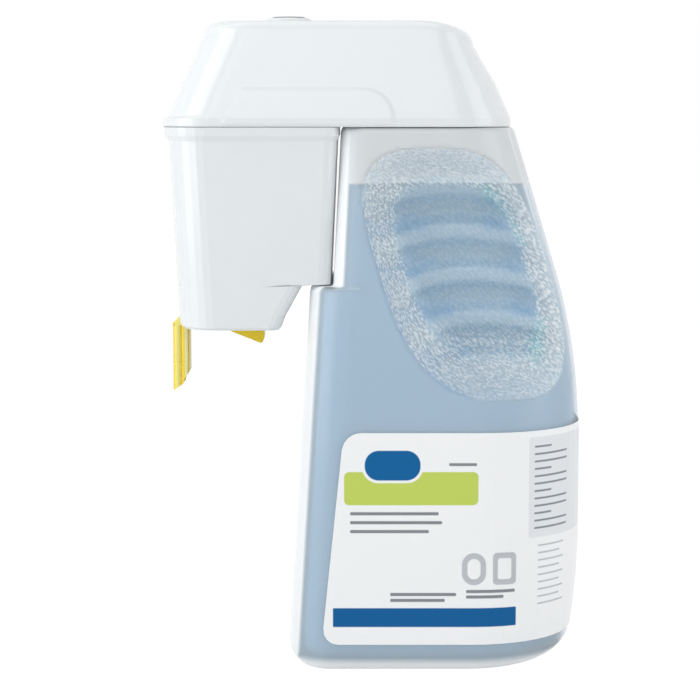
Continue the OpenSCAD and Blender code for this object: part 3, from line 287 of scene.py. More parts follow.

# %% [markdown]
# ## The detergent
# The liquid is a clear blue. Behind the milky wall it reads as one soft field of colour with a
# level line near the shoulder, so it is a body with a colour of its own, a little lighter in its
# top 12 millimetres, towards the level.

# %% Detergent
LIQUID_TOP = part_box("detergent")[1].z
detergent_blue, tree, shader = new_material("detergent_blue", (0.21, 0.44, 0.68), 0.12)
height_above = add_node(tree, "ShaderNodeSeparateXYZ", Vector=object_place(tree)).outputs["Z"]
near_top = remap(tree, height_above, LIQUID_TOP - 0.012, LIQUID_TOP)
swirl = add_node(tree, "ShaderNodeTexNoise", Vector=object_place(tree), Scale=14.0, Detail=2.0)
tone = blend_colours(tree, swirl.outputs[0], (0.195, 0.415, 0.66, 1), (0.225, 0.455, 0.70, 1))
tree.links.new(
    blend_colours(tree, maths(tree, "MULTIPLY", near_top, 0.3), tone, (0.6, 0.72, 0.85, 1)),
    shader.inputs["Base Color"],
)
dress("detergent", detergent_blue)

# %% [markdown]
# ## The bottle
# The real bottle is blown in a mould, so its wall is one skin with no seams but the pinch line.
# The CAD solid has the right form with few faces. Its grip is where the eye goes, and that
# needs a dense, even mesh, so the skin is laid out again here: rings of points up the bottle,
# each one a rounded outline that sinks into the finger hollow. Hand tools can't give a surface
# that changes its outline at every height, so the points are computed. A wall is added inwards
# after that. The driving sizes are the bottle's own.

# %% The bottle's sizes, in millimetres
FRONT_X, FRONT_LEAN = -40.0, 0.06
REAR_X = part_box("bottle")[1].x / MM
DEPTH, TOP_DEPTH = 118.0, 106.0
SHOULDER_Z, SHOULDER_RISE = 253.6, 1.6
REAR_BEND_Z, REAR_STRAIGHT_Z, REAR_LEAN = 105.0, 185.0, math.radians(17.3)
BASE_R, BASE_SIDE_R, PUSH_UP = 12.0, 6.0, 3.0
TUCK, TUCK_Z = 6.0, 60.0
NOTCH_Z, NOTCH_X, NOTCH_LEAN, NOTCH_EDGE_R, NOTCH_FILLET_R = 180.0, -18.5, 0.05, 3.0, 1.5
NECK_X, NECK_R, NECK_H = 26.0, 18.0, 20.9
GRIP_X, GRIP_Z = 46.0, 187.5
GRIP_FRONT, GRIP_REAR, GRIP_UP, GRIP_DOWN = 44.0, 37.0, 57.0, 60.0
GRIP_WEB, GROOVE_PITCH, GROOVE_Z, GROOVE_DEPTH, GROOVE_BEND = 57.0, 20.5, 195.0, 1.7, 0.006
CORNER_R, NOTCH_CORNER_R = 20.0, 12.0
REAR_A, REAR_B = (50.0, 26.0), (52.0, 34.0)
HOLLOW_POWER, HOLLOW_FLOOR = 3.0, 0.58
BEND_R = (REAR_STRAIGHT_Z - REAR_BEND_Z) / math.sin(REAR_LEAN)
BEND_IN = BEND_R * (1 - math.cos(REAR_LEAN))


def lerp(a, b, t):
    return a + (b - a) * t


def ease(t):
    t = min(1, max(0, t))
    return t * t * (3 - 2 * t)


def rear_at(z):
    if z <= TUCK_Z:
        return REAR_X - TUCK * (1 - z / TUCK_Z) ** 2
    if z <= REAR_BEND_Z:
        return REAR_X
    if z <= REAR_STRAIGHT_Z:
        return REAR_X - BEND_R + math.sqrt(BEND_R**2 - (z - REAR_BEND_Z) ** 2)
    return REAR_X - BEND_IN - (z - REAR_STRAIGHT_Z) * math.tan(REAR_LEAN)


def taper_at(z):
    return ease((z - REAR_BEND_Z) / (SHOULDER_Z - REAR_BEND_Z))


def half_depth_at(z):
    return lerp(DEPTH, TOP_DEPTH, taper_at(z)) / 2


def low_front_at(z):
    return FRONT_X + FRONT_LEAN * z


def notch_wall_at(z):
    return NOTCH_X + NOTCH_LEAN * (z - NOTCH_Z)


print("rear edge at the shoulder:", round(rear_at(SHOULDER_Z), 1), "mm")


# %% The finger hollow
def hollow_depth(x, z):
    """How far a place on the side has sunk into the finger hollow, from 0 to 1."""
    u = x - GRIP_X + (z - GRIP_Z) * math.tan(REAR_LEAN)
    v = z - GRIP_Z
    across = -u / GRIP_FRONT if u < 0 else u / GRIP_REAR
    along = -v / GRIP_DOWN if v < 0 else v / GRIP_UP
    reach = (across**HOLLOW_POWER + along**HOLLOW_POWER) ** (1 / HOLLOW_POWER)
    s = min(1, max(0, (1 - reach) / (1 - HOLLOW_FLOOR)))
    return 1.5 * s - 0.5 * s**3


def hollow_floor_y(x, z):
    """The grooves that the fingers rest in, which bend down towards their ends."""
    u = x - GRIP_X + (z - GRIP_Z) * math.tan(REAR_LEAN)
    turn = 2 * math.pi * (z + GROOVE_BEND * u * u - GROOVE_Z) / GROOVE_PITCH
    return GRIP_WEB / 2 - GROOVE_DEPTH * math.cos(turn)


def pinched(x, y, z):
    """Moves a point on the side in to the hollow, and says how much of a slope it is on."""
    w = hollow_depth(x, z)
    floor = hollow_floor_y(x, z)
    side = abs(y)
    drawn = lerp(side, floor, w) if side > floor else side
    return math.copysign(drawn, y), w


# %% [markdown]
# Each ring starts at the middle of the front edge, goes round the near corner, along the side,
# round the rear corner, and comes back on the other side as its mirror image.


# %% A ring of the bottle
FRONT_POINTS, CORNER_POINTS, SIDE_POINTS, REAR_CORNER_POINTS, REAR_POINTS = 6, 10, 60, 44, 6


def half_ring(front, rear, half, corner, a, b):
    points = []
    for i in range(FRONT_POINTS):
        points.append((front, (half - corner) * i / FRONT_POINTS))
    for i in range(CORNER_POINTS):
        turn = math.pi - math.pi / 2 * i / CORNER_POINTS
        points.append((front + corner * (1 + math.cos(turn)), half - corner * (1 - math.sin(turn))))
    for i in range(SIDE_POINTS):
        points.append((lerp(front + corner, rear - a, i / SIDE_POINTS), half))
    for i in range(REAR_CORNER_POINTS):
        turn = math.pi / 2 * (1 - i / REAR_CORNER_POINTS)
        points.append((rear - a * (1 - math.cos(turn)), half - b * (1 - math.sin(turn))))
    for i in range(REAR_POINTS + 1):
        points.append((rear, (half - b) * (1 - i / REAR_POINTS)))
    return points


def full_ring(front, rear, half, corner, a, b):
    side = half_ring(front, rear, half, corner, a, b)
    return side + [(x, -y) for x, y in reversed(side[1:-1])]


def body_ring(z, front=None, front_z=None, inset=0.0, side=None):
    """Points of one ring, each with its share of the hollow. side is the inset at the sides."""
    side = inset if side is None else side
    if front is None:
        front = low_front_at(z) if z < NOTCH_Z else notch_wall_at(z)
    t = taper_at(z)
    outline = full_ring(
        front + inset, rear_at(z) - inset, half_depth_at(z) - side,
        max(2.0, (CORNER_R if z < NOTCH_Z else NOTCH_CORNER_R) - inset),
        max(2.0, lerp(*REAR_A, t) - inset), max(2.0, lerp(*REAR_B, t) - side),
    )
    at_front = FRONT_POINTS + CORNER_POINTS
    ring = []
    for i, (x, y) in enumerate(outline):
        drawn, w = pinched(x, y, z) if inset == 0 else (y, 0)
        low = front_z is not None and (i <= at_front or i >= len(outline) - at_front)
        edge = min(x - front, rear_at(z) - x)
        ring.append((x, drawn, front_z if low else z, w, edge))
    return ring


# %% The rings from the base to the neck
def plain_ring(z, inset=0.0, side=None):
    return [(x, y, z, 0.0, edge) for x, y, _, _, edge in body_ring(z, inset=inset, side=side)]


def neck_ring(z, r, count):
    ring = []
    for i in range(count):
        turn = math.pi - 2 * math.pi * i / count
        ring.append((NECK_X + r * math.cos(turn), r * math.sin(turn), z, 0.0, 40.0))
    return ring


def steps(low, high, step):
    count = max(1, round((high - low) / step))
    return [lerp(low, high, i / count) for i in range(count)]


BASE_STEPS, EDGE_STEPS = 8, 5
rings = [
    plain_ring(PUSH_UP, BASE_R + 40, BASE_SIDE_R + 40),
    plain_ring(PUSH_UP, BASE_R + 16, BASE_SIDE_R + 16),
    plain_ring(0, BASE_R + 10, BASE_SIDE_R + 10),
]
for i in range(BASE_STEPS):
    a = math.pi / 2 * i / BASE_STEPS
    z = BASE_R * (1 - math.cos(a))
    rings.append(plain_ring(z, BASE_R * (1 - math.sin(a)), BASE_SIDE_R * (1 - math.sin(a))))
for z in steps(BASE_R, 120, 6) + steps(120, NOTCH_Z - NOTCH_EDGE_R - 1, 1.5):
    rings.append(body_ring(z))
for i in range(EDGE_STEPS + 1):
    a = math.pi / 2 * i / EDGE_STEPS
    front_z = NOTCH_Z - NOTCH_EDGE_R * (1 - math.sin(a))
    z = lerp(NOTCH_Z - NOTCH_EDGE_R, NOTCH_Z - 0.8, i / EDGE_STEPS)
    rings.append(body_ring(z, low_front_at(front_z) + NOTCH_EDGE_R * (1 - math.cos(a)), front_z))
for i in range(EDGE_STEPS + 1):
    a = math.pi / 2 * i / EDGE_STEPS
    front_z = NOTCH_Z + NOTCH_FILLET_R * (1 - math.cos(a))
    z = lerp(NOTCH_Z + 0.8, NOTCH_Z + NOTCH_FILLET_R, i / EDGE_STEPS)
    rings.append(body_ring(z, notch_wall_at(front_z) - NOTCH_FILLET_R * (1 - math.sin(a)), front_z))
for z in steps(NOTCH_Z + NOTCH_FILLET_R + 1.5, SHOULDER_Z - 2, 1.5):
    rings.append(body_ring(z))
for i in range(4):
    a = math.pi / 2 * i / 3
    z = SHOULDER_Z - 2 * (1 - math.sin(a))
    rings.append(plain_ring(z, inset=2 * (1 - math.cos(a))))
count = len(rings[0])
shoulder = plain_ring(SHOULDER_Z, inset=3.0)
root = neck_ring(SHOULDER_Z + SHOULDER_RISE, NECK_R + 2, count)
for t in (0.0, 0.3, 0.6, 0.85):
    z = lerp(SHOULDER_Z, SHOULDER_Z + SHOULDER_RISE, t)
    rings.append([(lerp(p[0], q[0], t), lerp(p[1], q[1], t), z, 0.0, 40.0)
                  for p, q in zip(shoulder, root)])
rings.append(root)
rings.append(neck_ring(SHOULDER_Z + SHOULDER_RISE + 1.5, NECK_R, count))
rings.append(neck_ring(SHOULDER_Z + NECK_H, NECK_R, count))
print("bottle rings:", len(rings), "of", count, "points")


# %% [markdown]
# The rings become one mesh. The share of the hollow is stored at each point, so the material
# knows where the pebbled grip is. The wall is then given its thickness with Solidify.


# %% The bottle's mesh
def mesh_from_rings(name, rings, close_first):
    count = len(rings[0])
    points = [Vector(p[:3]) * MM for ring in rings for p in ring]
    faces = []
    for r in range(len(rings) - 1):
        for i in range(count):
            a, b = r * count + i, r * count + (i + 1) % count
            faces.append((a, a + count, b + count, b))
    if close_first:
        middle = sum((Vector(p[:3]) for p in rings[0]), Vector()) / count
        points.append(middle * MM)
        faces += [(i, (i + 1) % count, len(points) - 1) for i in range(count)]
    mesh = bpy.data.meshes.new(name)
    mesh.from_pydata(points, [], faces)
    piece = bpy.data.objects.new(name, mesh)
    bpy.context.scene.collection.objects.link(piece)
    return piece


def activate(piece):
    bpy.ops.object.select_all(action="DESELECT")
    piece.select_set(True)
    bpy.context.view_layer.objects.active = piece


def face_outwards(piece):
    activate(piece)
    bpy.ops.object.mode_set(mode="EDIT")
    bpy.ops.mesh.select_all(action="SELECT")
    bpy.ops.mesh.normals_make_consistent(inside=False)
    bpy.ops.object.mode_set(mode="OBJECT")


WALL = 1.3
bottle_skin = mesh_from_rings("bottle_skin", rings, True)
face_outwards(bottle_skin)
for name, column, at_middle in (("hollow", 3, 0.0), ("edge", 4, 40.0)):
    layer = bottle_skin.data.attributes.new(name, "FLOAT", "POINT")
    layer.data.foreach_set("value", [p[column] for ring in rings for p in ring] + [at_middle])
wall = bottle_skin.modifiers.new("wall", "SOLIDIFY")
wall.thickness = WALL * MM
wall.offset = -1
bpy.ops.object.modifier_apply(modifier="wall")
bpy.ops.object.shade_smooth_by_angle(angle=math.radians(40))
print("bottle faces:", len(bottle_skin.data.polygons))

# %% [markdown]
# ## The hood
# The hood is one moulding with soft edges, a thin lip at the foot of its front face, and a raised
# panel in each side. Its face bows and leans by rules, so it is made from computed rings as the
# bottle is. They follow the CAD hood's faces, with many more points, so that the edges can be
# round and catch a thin line of light.

# %% The hood's sizes, in millimetres
HOOD_LOW, HOOD_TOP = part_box("hood")[0].z / MM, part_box("hood")[1].z / MM
HOOD_FRONT, HOOD_REAR, HOOD_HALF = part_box("hood")[0].x / MM, rear_at(SHOULDER_Z) - 1.3, 53.0
HOOD_LEAN, HOOD_REAR_LEAN, HOOD_SIDE_LEAN = 0.43, 0.46, 0.09
LIP, SKIRT, BOW, BOW_REACH, CROWN_R, HOOD_WALL = 2.6, 4.0, 6.0, 40.0, 5.0, 2.2
PANEL_FRONT, PANEL_REAR, PANEL_FOOT, PANEL_TOP = -72.5, 9.5, HOOD_LOW + 0.8, HOOD_LOW + 17.8
PANEL_SLANT, PANEL_R, PANEL_T = 0.62, 14.0, 0.6
HOOD_CORNER_R, HOOD_REAR_A, HOOD_REAR_B, CORNER_TAPER = 20.0, 26.0, 34.0, 0.2
REAR_FALL, REAR_FALL_X = 0.008, 20.0
FRONT_FALL, FRONT_FALL_X = 0.002, -60.0
INLET_X, HOLE_R = -40.0, 11.0
SOFT_EDGE = 0.9
FLAT_SIDE = 0.4
print("hood from", round(HOOD_LOW, 1), "to", round(HOOD_TOP, 1), "mm high")


# %% The hood's faces
def crown_drop(x):
    """How far the crown lies under its highest level, behind and in front of its flat part."""
    return REAR_FALL * max(0, x - REAR_FALL_X) ** 2 + FRONT_FALL * max(0, FRONT_FALL_X - x) ** 2


def on_panel(x, z):
    """1 on the raised panel and 0 off it, with a soft edge."""
    inside = min(
        PANEL_TOP - z, z - PANEL_FOOT + 0.4,
        (x - PANEL_FRONT - PANEL_SLANT * (z - PANEL_FOOT)) / math.hypot(1, PANEL_SLANT),
        PANEL_R - math.hypot(max(0, x - PANEL_REAR + PANEL_R), max(0, z - PANEL_TOP + PANEL_R)),
    )
    return ease(inside / SOFT_EDGE)


def hood_ring(z, inset=0.0):
    rise = max(0, z - HOOD_LOW - SKIRT)
    front = HOOD_FRONT + LIP * ease(rise / SOFT_EDGE) + HOOD_LEAN * rise + inset
    half = HOOD_HALF - HOOD_SIDE_LEAN * rise - inset
    outline = full_ring(
        front, HOOD_REAR - HOOD_REAR_LEAN * rise - inset, half, HOOD_CORNER_R - inset / 2,
        HOOD_REAR_A - inset / 2 - rise * CORNER_TAPER, HOOD_REAR_B - inset * 0.8 - rise * CORNER_TAPER,
    )
    ring = []
    for x, y in outline:
        bow = BOW * (y / half) ** 2 * max(0, 1 - (x - front) / BOW_REACH)
        if abs(y) > half - FLAT_SIDE:
            y += math.copysign(PANEL_T * on_panel(x, z), y)
        ring.append((x + bow, y, z))
    return ring


# %% [markdown]
# The rings climb the upright lip and the panel in small steps, then blend into the rounded edge
# of the crown, and close in to the round hole for the water inlet. The hood's outline has more
# points along its sides than the bottle's, to draw the panel's edge.

# %% The hood's rings
FRONT_POINTS, CORNER_POINTS, SIDE_POINTS, REAR_CORNER_POINTS = 12, 16, 130, 26
PANEL_STEP, BLEND_STEPS, CROWN_STEPS, TOP_STEPS = 0.7, 16, 10, 12
low_z, top_z = HOOD_LOW + 20, HOOD_TOP - CROWN_R
hood_rings = [hood_ring(HOOD_LOW, 0.5), hood_ring(HOOD_LOW + 0.15, 0.15)]
hood_rings += [hood_ring(z) for z in steps(HOOD_LOW + 0.5, low_z, PANEL_STEP)]
low_face = hood_ring(low_z)
top_face = [(x, y, top_z - crown_drop(x)) for x, y, _ in hood_ring(top_z)]
for i in range(BLEND_STEPS):
    hood_rings.append([tuple(lerp(a, b, i / BLEND_STEPS) for a, b in zip(p, q))
                       for p, q in zip(low_face, top_face)])
for i in range(CROWN_STEPS + 1):
    a = math.pi / 2 * i / CROWN_STEPS
    edge_ring = [(x, y, HOOD_TOP - CROWN_R * (1 - math.sin(a)) - crown_drop(x))
                 for x, y, _ in hood_ring(top_z, CROWN_R * (1 - math.cos(a)))]
    hood_rings.append(edge_ring)
for i in range(1, TOP_STEPS + 1):
    ring = []
    for x, y, _ in edge_ring:
        far = math.hypot(x - INLET_X, y)
        x = lerp(x, INLET_X + HOLE_R * (x - INLET_X) / far, i / TOP_STEPS)
        ring.append((x, lerp(y, HOLE_R * y / far, i / TOP_STEPS), HOOD_TOP - crown_drop(x)))
    hood_rings.append(ring)
print("hood rings:", len(hood_rings), "of", len(edge_ring), "points")

# %% The hood's mesh
hood_skin = mesh_from_rings("hood_skin", hood_rings, False)
face_outwards(hood_skin)
wall = hood_skin.modifiers.new("wall", "SOLIDIFY")
wall.thickness = HOOD_WALL * MM
wall.offset = -1
bpy.ops.object.modifier_apply(modifier="wall")
bpy.ops.object.shade_smooth_by_angle(angle=math.radians(50))
hood_skin.data.materials.append(white_shell)
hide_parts("hood")
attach(hood_skin, HEAD)
print("hood faces:", len(hood_skin.data.polygons))

# %% [markdown]
# ## The bottle's plastic
# Natural polyethylene is milky: it lets light through but blurs it. The wall is part clear and
# part white. A whiter band at the corners of the front and rear ends and at the foot is painted
# light: the glow of the bright surroundings along the outline. The slope of each hollow is pebbled
# for grip, with short strokes that catch the light, and their tops carry painted highlights.

# %% Bottle plastic
bottle_plastic, tree, shader = new_material("bottle_plastic", (0.86, 0.90, 0.94), 0.28)


def own_value(name):
    node = tree.nodes.new("ShaderNodeAttribute")
    node.attribute_name = name
    return node.outputs["Fac"]


# %% [markdown]
# The strokes are a Voronoi pattern, turned by 45 degrees and stretched. They are strongest on the
# hollow's slope, weaker near the floor's foot, and faint on the rest of the floor.

# %% The strokes of the grip
hollow = own_value("hollow")
edge = own_value("edge")
place = object_place(tree)
spot = add_node(tree, "ShaderNodeSeparateXYZ", Vector=place)
strokes = add_node(tree, "ShaderNodeMapping", Vector=place, Rotation=(0, math.radians(-45), 0))
strokes = add_node(tree, "ShaderNodeMapping", Vector=strokes.outputs[0], Scale=(480, 760, 1050))
pebble = add_node(tree, "ShaderNodeTexVoronoi", Vector=strokes.outputs[0], Scale=1.0)
pebble.feature = "SMOOTH_F1"
peaks = remap(tree, pebble.outputs["Distance"], 0.15, 0.62, 1.0, 0.0)
fine = add_node(tree, "ShaderNodeTexNoise", Vector=place, Scale=900.0, Detail=3.0)
wave = add_node(tree, "ShaderNodeTexNoise", Vector=place, Scale=30.0, Detail=2.0)
slope = maths(tree, "MULTIPLY", remap(tree, hollow, 0.01, 0.08), remap(tree, hollow, 1.0, 0.8))
slope = maths(tree, "MULTIPLY", slope, remap(tree, spot.outputs["Z"], 0.125, 0.155, 0.55, 1.0))
low_floor = maths(tree, "MULTIPLY", remap(tree, hollow, 0.5, 0.9),
                  remap(tree, spot.outputs["Z"], 0.172, 0.150))
amount = maths(tree, "MAXIMUM", slope, maths(tree, "MULTIPLY", low_floor, 0.7))
amount = maths(tree, "MAXIMUM", amount, maths(tree, "MULTIPLY", hollow, 0.22))
height = maths(tree, "ADD", maths(tree, "MULTIPLY", peaks, amount),
               maths(tree, "MULTIPLY", wave.outputs[0], 0.3))
height = maths(tree, "ADD", height,
               maths(tree, "MULTIPLY", maths(tree, "MULTIPLY", fine.outputs[0], amount), 0.3))
raised = add_node(tree, "ShaderNodeBump", Strength=1.0, Distance=0.00038, Height=height)
tree.links.new(raised.outputs[0], shader.inputs["Normal"])

# %% [markdown]
# The masks below say where the colour changes: painted shade in the grooves and a painted highlight
# on the ridges of the floor, which follow the mesh, a painted white glow at the bottle's corners and
# foot, painted highlights on the pebble tops, and the empty part over the liquid.

# %% Masks on the bottle
Z = maths(tree, "MULTIPLY", spot.outputs["Z"], 1 / MM)
across = maths(tree, "ADD", maths(tree, "MULTIPLY", spot.outputs["X"], 1 / MM),
               maths(tree, "MULTIPLY", maths(tree, "SUBTRACT", Z, GRIP_Z), math.tan(REAR_LEAN)))
bend = maths(tree, "MULTIPLY", maths(tree, "POWER", maths(tree, "ABSOLUTE",
                                                          maths(tree, "SUBTRACT", across, GRIP_X)), 2.0),
             GROOVE_BEND)
turn = maths(tree, "SUBTRACT", maths(tree, "ADD", Z, bend), GROOVE_Z)
turn = maths(tree, "COSINE", maths(tree, "MULTIPLY", turn, 2 * math.pi / GROOVE_PITCH))
# Painted shade in the floor's grooves and a painted highlight on its ridges
painted_groove_shade = maths(tree, "MULTIPLY", remap(tree, turn, 0.1, 0.9), remap(tree, hollow, 0.7, 0.97))
painted_ridge_highlight = maths(tree, "MULTIPLY", remap(tree, turn, -0.2, -0.9), remap(tree, hollow, 0.7, 0.97))
far_out = maths(tree, "MULTIPLY", maths(tree, "ABSOLUTE", spot.outputs["Y"]), 1 / MM)
# Painted light: a white glow along the front and rear corners and the foot, as the bright surroundings
# light the outline
painted_rim_glow = maths(tree, "MULTIPLY", remap(tree, edge, 3.8, 5.6, 1.0, 0.0), remap(tree, far_out, 28.0, 40.0))
painted_rim_glow = maths(tree, "MAXIMUM", painted_rim_glow, remap(tree, Z, 2.5, 7.0, 1.0, 0.0))
painted_rim_glow = maths(tree, "MULTIPLY", painted_rim_glow, remap(tree, hollow, 0.02, 0.3, 1.0, 0.0))
empty = remap(tree, Z, LIQUID_TOP / MM - 1.2, LIQUID_TOP / MM + 1.2)
# Painted highlights on the tops of the pebble strokes: whiter and more opaque there
painted_pebble_glints = maths(tree, "MULTIPLY", maths(tree, "MULTIPLY", peaks, amount), 0.85)

# %% [markdown]
# The milky colour is built up in layers, each one mixed in by its mask; several layers are painted
# light. A painted bluish glint runs down the floor's rear edge, where the real wall bends light.

# %% Colour and opacity of the bottle
milk = blend_colours(tree, empty, (0.69, 0.82, 0.90, 1), (0.84, 0.875, 0.895, 1))
milk = blend_colours(tree, maths(tree, "MULTIPLY", slope, 0.7), milk, (0.74, 0.86, 0.94, 1))
milk = blend_colours(tree, remap(tree, hollow, 0.7, 0.95), milk, (0.60, 0.80, 0.93, 1))
milk = blend_colours(tree, maths(tree, "MULTIPLY", painted_groove_shade, 0.5), milk, (0.46, 0.62, 0.74, 1))
milk = blend_colours(tree, maths(tree, "MULTIPLY", painted_ridge_highlight, 0.2), milk, (0.84, 0.91, 0.96, 1))
glint = maths(tree, "MULTIPLY", remap(tree, hollow, 0.55, 0.8), remap(tree, hollow, 0.99, 0.86))
glint = maths(tree, "MULTIPLY", glint, remap(tree, across, GRIP_X + 12, GRIP_X + 20))
glint = maths(tree, "MULTIPLY", glint, remap(tree, wave.outputs[0], 0.40, 0.62))
milk = blend_colours(tree, maths(tree, "MULTIPLY", glint, 0.7), milk, (0.35, 0.78, 0.84, 1))
# The painted glow at the rim and the painted highlights on the pebble tops whiten the colour
tree.links.new(blend_colours(tree, maths(tree, "MAXIMUM", painted_rim_glow, painted_pebble_glints), milk, (0.96, 0.985, 1.0, 1)),
               shader.inputs["Base Color"])
opacity = maths(tree, "ADD", 0.36, maths(tree, "MULTIPLY", painted_rim_glow, 0.56))
opacity = maths(tree, "MAXIMUM", opacity, maths(tree, "MULTIPLY", empty, 0.74))
opacity = maths(tree, "ADD", opacity, maths(tree, "MULTIPLY", painted_pebble_glints, 0.5))
opacity = maths(tree, "ADD", opacity, maths(tree, "MULTIPLY", slope, 0.15))
opacity = maths(tree, "ADD", opacity, maths(tree, "MULTIPLY", painted_ridge_highlight, 0.15))
tree.links.new(maths(tree, "ADD", opacity, maths(tree, "MULTIPLY", painted_groove_shade, 0.15), clamp=True),
               shader.inputs["Alpha"])
bottle_skin.data.materials.append(bottle_plastic)
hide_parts("bottle")
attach(bottle_skin, HEAD)

# %% [markdown]
# ## The label
# The label is a white film that wraps round the rear of the bottle. Its print is left as plain
# fields: a green band, a blue band and soft grey bars where the words would be. The CAD sheet is
# already the right shape, so it keeps its mesh and only gets its material. The fields are drawn
# by measuring distances on the sheet, in millimetres.

# %% Label film
label_film, tree, shader = new_material("label_film", (0.97, 0.98, 0.985), 0.3,
                                        Specular_IOR_Level=0.2)
millimetres = add_node(tree, "ShaderNodeMapping", Vector=object_place(tree),
                       Scale=(1 / MM, 1 / MM, 1 / MM))
spot = add_node(tree, "ShaderNodeSeparateXYZ", Vector=millimetres.outputs[0])
X, Z = spot.outputs["X"], spot.outputs["Z"]


def rounded_field(left, right, low, high, radius, soft=0.25):
    """A mask for a rounded rectangle, 1 inside and 0 outside."""
    dx = maths(tree, "SUBTRACT", maths(tree, "ABSOLUTE", maths(tree, "SUBTRACT", X, (left + right) / 2)),
               (right - left) / 2 - radius)
    dz = maths(tree, "SUBTRACT", maths(tree, "ABSOLUTE", maths(tree, "SUBTRACT", Z, (low + high) / 2)),
               (high - low) / 2 - radius)
    outer = maths(tree, "POWER", maths(tree, "ADD",
                                       maths(tree, "POWER", maths(tree, "MAXIMUM", dx, 0.0), 2.0),
                                       maths(tree, "POWER", maths(tree, "MAXIMUM", dz, 0.0), 2.0)), 0.5)
    return remap(tree, maths(tree, "SUBTRACT", outer, radius), -soft, soft, 1.0, 0.0)


GREEN, BLUE = (0.58, 0.70, 0.13, 1), (0.0, 0.115, 0.33, 1)
GREY, SOFT, PALE = (0.25, 0.27, 0.29, 1), (0.55, 0.57, 0.60, 1), (0.97, 0.98, 0.985, 1)
PANEL, BADGE = (0.84, 0.86, 0.88, 1), (0.0, 0.125, 0.35, 1)
fields = [
    (rounded_field(-13.5, 48.9, 79.2, 94.8, 2.5), GREEN),
    (rounded_field(-18.7, 67.0, 21.5, 30.5, 0.5), BLUE),
    (rounded_field(-5.1, 23.2, 89.6, 106.0, 7.5), PALE),
    (rounded_field(-3.9, 22.0, 90.8, 104.8, 6.6), BADGE),
    (rounded_field(35.2, 48.2, 97.6, 99.0, 0.6), GREY),
    (rounded_field(41.4, 52.7, 41.4, 56.6, 5.6), SOFT),
    (rounded_field(55.9, 66.9, 41.4, 56.6, 2.0), SOFT),
    (rounded_field(44.0, 50.1, 44.2, 53.8, 3.0), PALE),
    (rounded_field(58.2, 64.6, 44.0, 54.0, 1.2), PALE),
    (rounded_field(72.8, 110.0, 62.5, 110.0, 1.0), PANEL),
]
# The words of the print are plain bars: left end, right end, height of the middle
bars = [(-10.7, 30.5, 75.2), (-10.7, 32.1, 71.0), (-10.7, 26.0, 66.8), (43.4, 66.4, 38.4),
        (43.4, 61.0, 35.8), (8.0, 38.8, 37.0), (8.0, 33.5, 34.2)]
fields += [(rounded_field(left, right, z - 0.75, z + 0.75, 0.6), GREY) for left, right, z in bars]
for i in range(12):
    z = 105.5 - 3.5 * i
    fields.append((rounded_field(75.5, 92.0 if i % 3 else 84.0, z - 0.45, z + 0.45, 0.4), GREY))
for i in range(9):
    z = 58.5 - 3.5 * i
    fields.append((rounded_field(77.5, 90.5 - 2.0 * (i % 2), z - 0.4, z + 0.4, 0.4), SOFT))
colour = None
for mask, ink in fields:
    colour = blend_colours(tree, mask, colour or PALE, ink)
tree.links.new(colour, shader.inputs["Base Color"])
dress("label", label_film)

# %% [markdown]
# ## Stage and light
# The photograph is a cut-out on white. The floor and the world are white to the camera and in
# reflections, while the lamps stay at a plain level. The floor keeps a soft contact shadow.

# %% Floor
FLOOR_SIZE = 6.0
bpy.ops.object.select_all(action="DESELECT")
bpy.ops.mesh.primitive_plane_add(size=FLOOR_SIZE, location=(0, FLOOR_SIZE / 2 - 1.4, 0))
floor = bpy.context.active_object
floor.name = "floor"
floor_paint = bpy.data.materials.new("floor_paint")
floor_paint.use_nodes = True
tree = floor_paint.node_tree
tree.nodes.remove(tree.nodes["Principled BSDF"])
matt = add_node(tree, "ShaderNodeBsdfDiffuse", Color=(0.8, 0.8, 0.8, 1))
glow = add_node(tree, "ShaderNodeEmission", Color=(1, 1, 1, 1), Strength=1.09)
ray = tree.nodes.new("ShaderNodeLightPath")
seen = maths(tree, "MAXIMUM", ray.outputs["Is Camera Ray"],
             maths(tree, "MAXIMUM", ray.outputs["Is Glossy Ray"], ray.outputs["Is Transmission Ray"]))
mixed = tree.nodes.new("ShaderNodeMixShader")
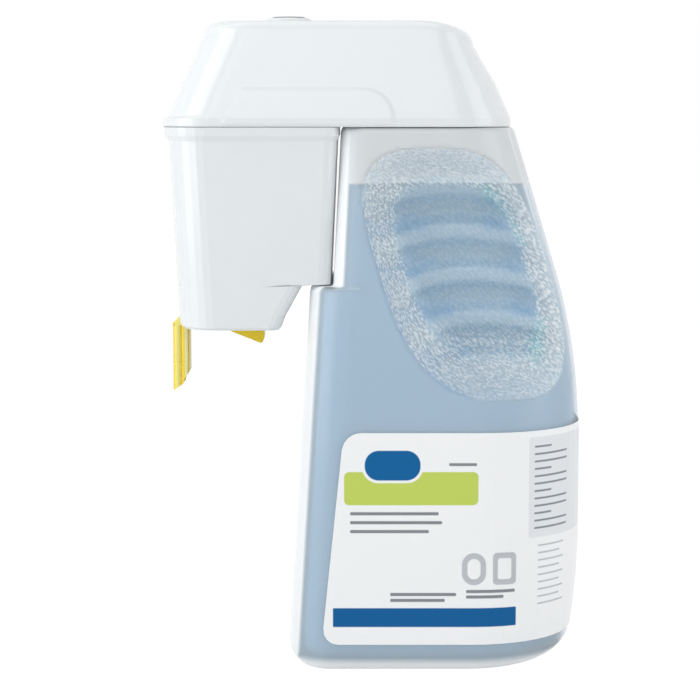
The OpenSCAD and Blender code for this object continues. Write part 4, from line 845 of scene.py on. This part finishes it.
tree.links.new(maths(tree, "MULTIPLY", seen, 0.9), mixed.inputs[0])
tree.links.new(matt.outputs[0], mixed.inputs[1])
tree.links.new(glow.outputs[0], mixed.inputs[2])
tree.links.new(mixed.outputs[0], tree.nodes["Material Output"].inputs["Surface"])
floor.data.materials.append(floor_paint)

# %% World and lamps
world = bpy.data.worlds.new("world")
bpy.context.scene.world = world
world.use_nodes = True
tree = world.node_tree
plain = add_node(tree, "ShaderNodeBackground", Color=(0.96, 0.98, 1.0, 1), Strength=0.48)
white = add_node(tree, "ShaderNodeBackground", Color=(1, 1, 1, 1), Strength=1.0)
ray = tree.nodes.new("ShaderNodeLightPath")
seen = maths(tree, "MAXIMUM", ray.outputs["Is Camera Ray"],
             maths(tree, "MAXIMUM", ray.outputs["Is Glossy Ray"], ray.outputs["Is Transmission Ray"]))
mixed = tree.nodes.new("ShaderNodeMixShader")
tree.links.new(seen, mixed.inputs[0])
tree.links.new(plain.outputs[0], mixed.inputs[1])
tree.links.new(white.outputs[0], mixed.inputs[2])
tree.links.new(mixed.outputs[0], tree.nodes["World Output"].inputs["Surface"])


def area_lamp(name, place, aim, width, height, power):
    lamp = bpy.data.lights.new(name, "AREA")
    lamp.shape = "RECTANGLE"
    lamp.size, lamp.size_y, lamp.energy = width, height, power
    holder = bpy.data.objects.new(name, lamp)
    bpy.context.scene.collection.objects.link(holder)
    holder.location = place
    holder.rotation_euler = (Vector(aim) - Vector(place)).to_track_quat("-Z", "Y").to_euler()
    return holder


MIDDLE = (0, 0, 0.16)
area_lamp("lamp_left", (-0.9, -0.35, 0.35), MIDDLE, 0.7, 0.9, 4.6)
area_lamp("lamp_right", (0.9, -0.35, 0.35), MIDDLE, 0.7, 0.9, 3.0)
area_lamp("lamp_top", (-0.1, -0.1, 1.1), MIDDLE, 0.9, 0.9, 2.1)
area_lamp("lamp_front", (-0.25, -1.4, 0.7), MIDDLE, 0.8, 0.6, 2.7)
bpy.context.scene.view_settings.view_transform = "Standard"
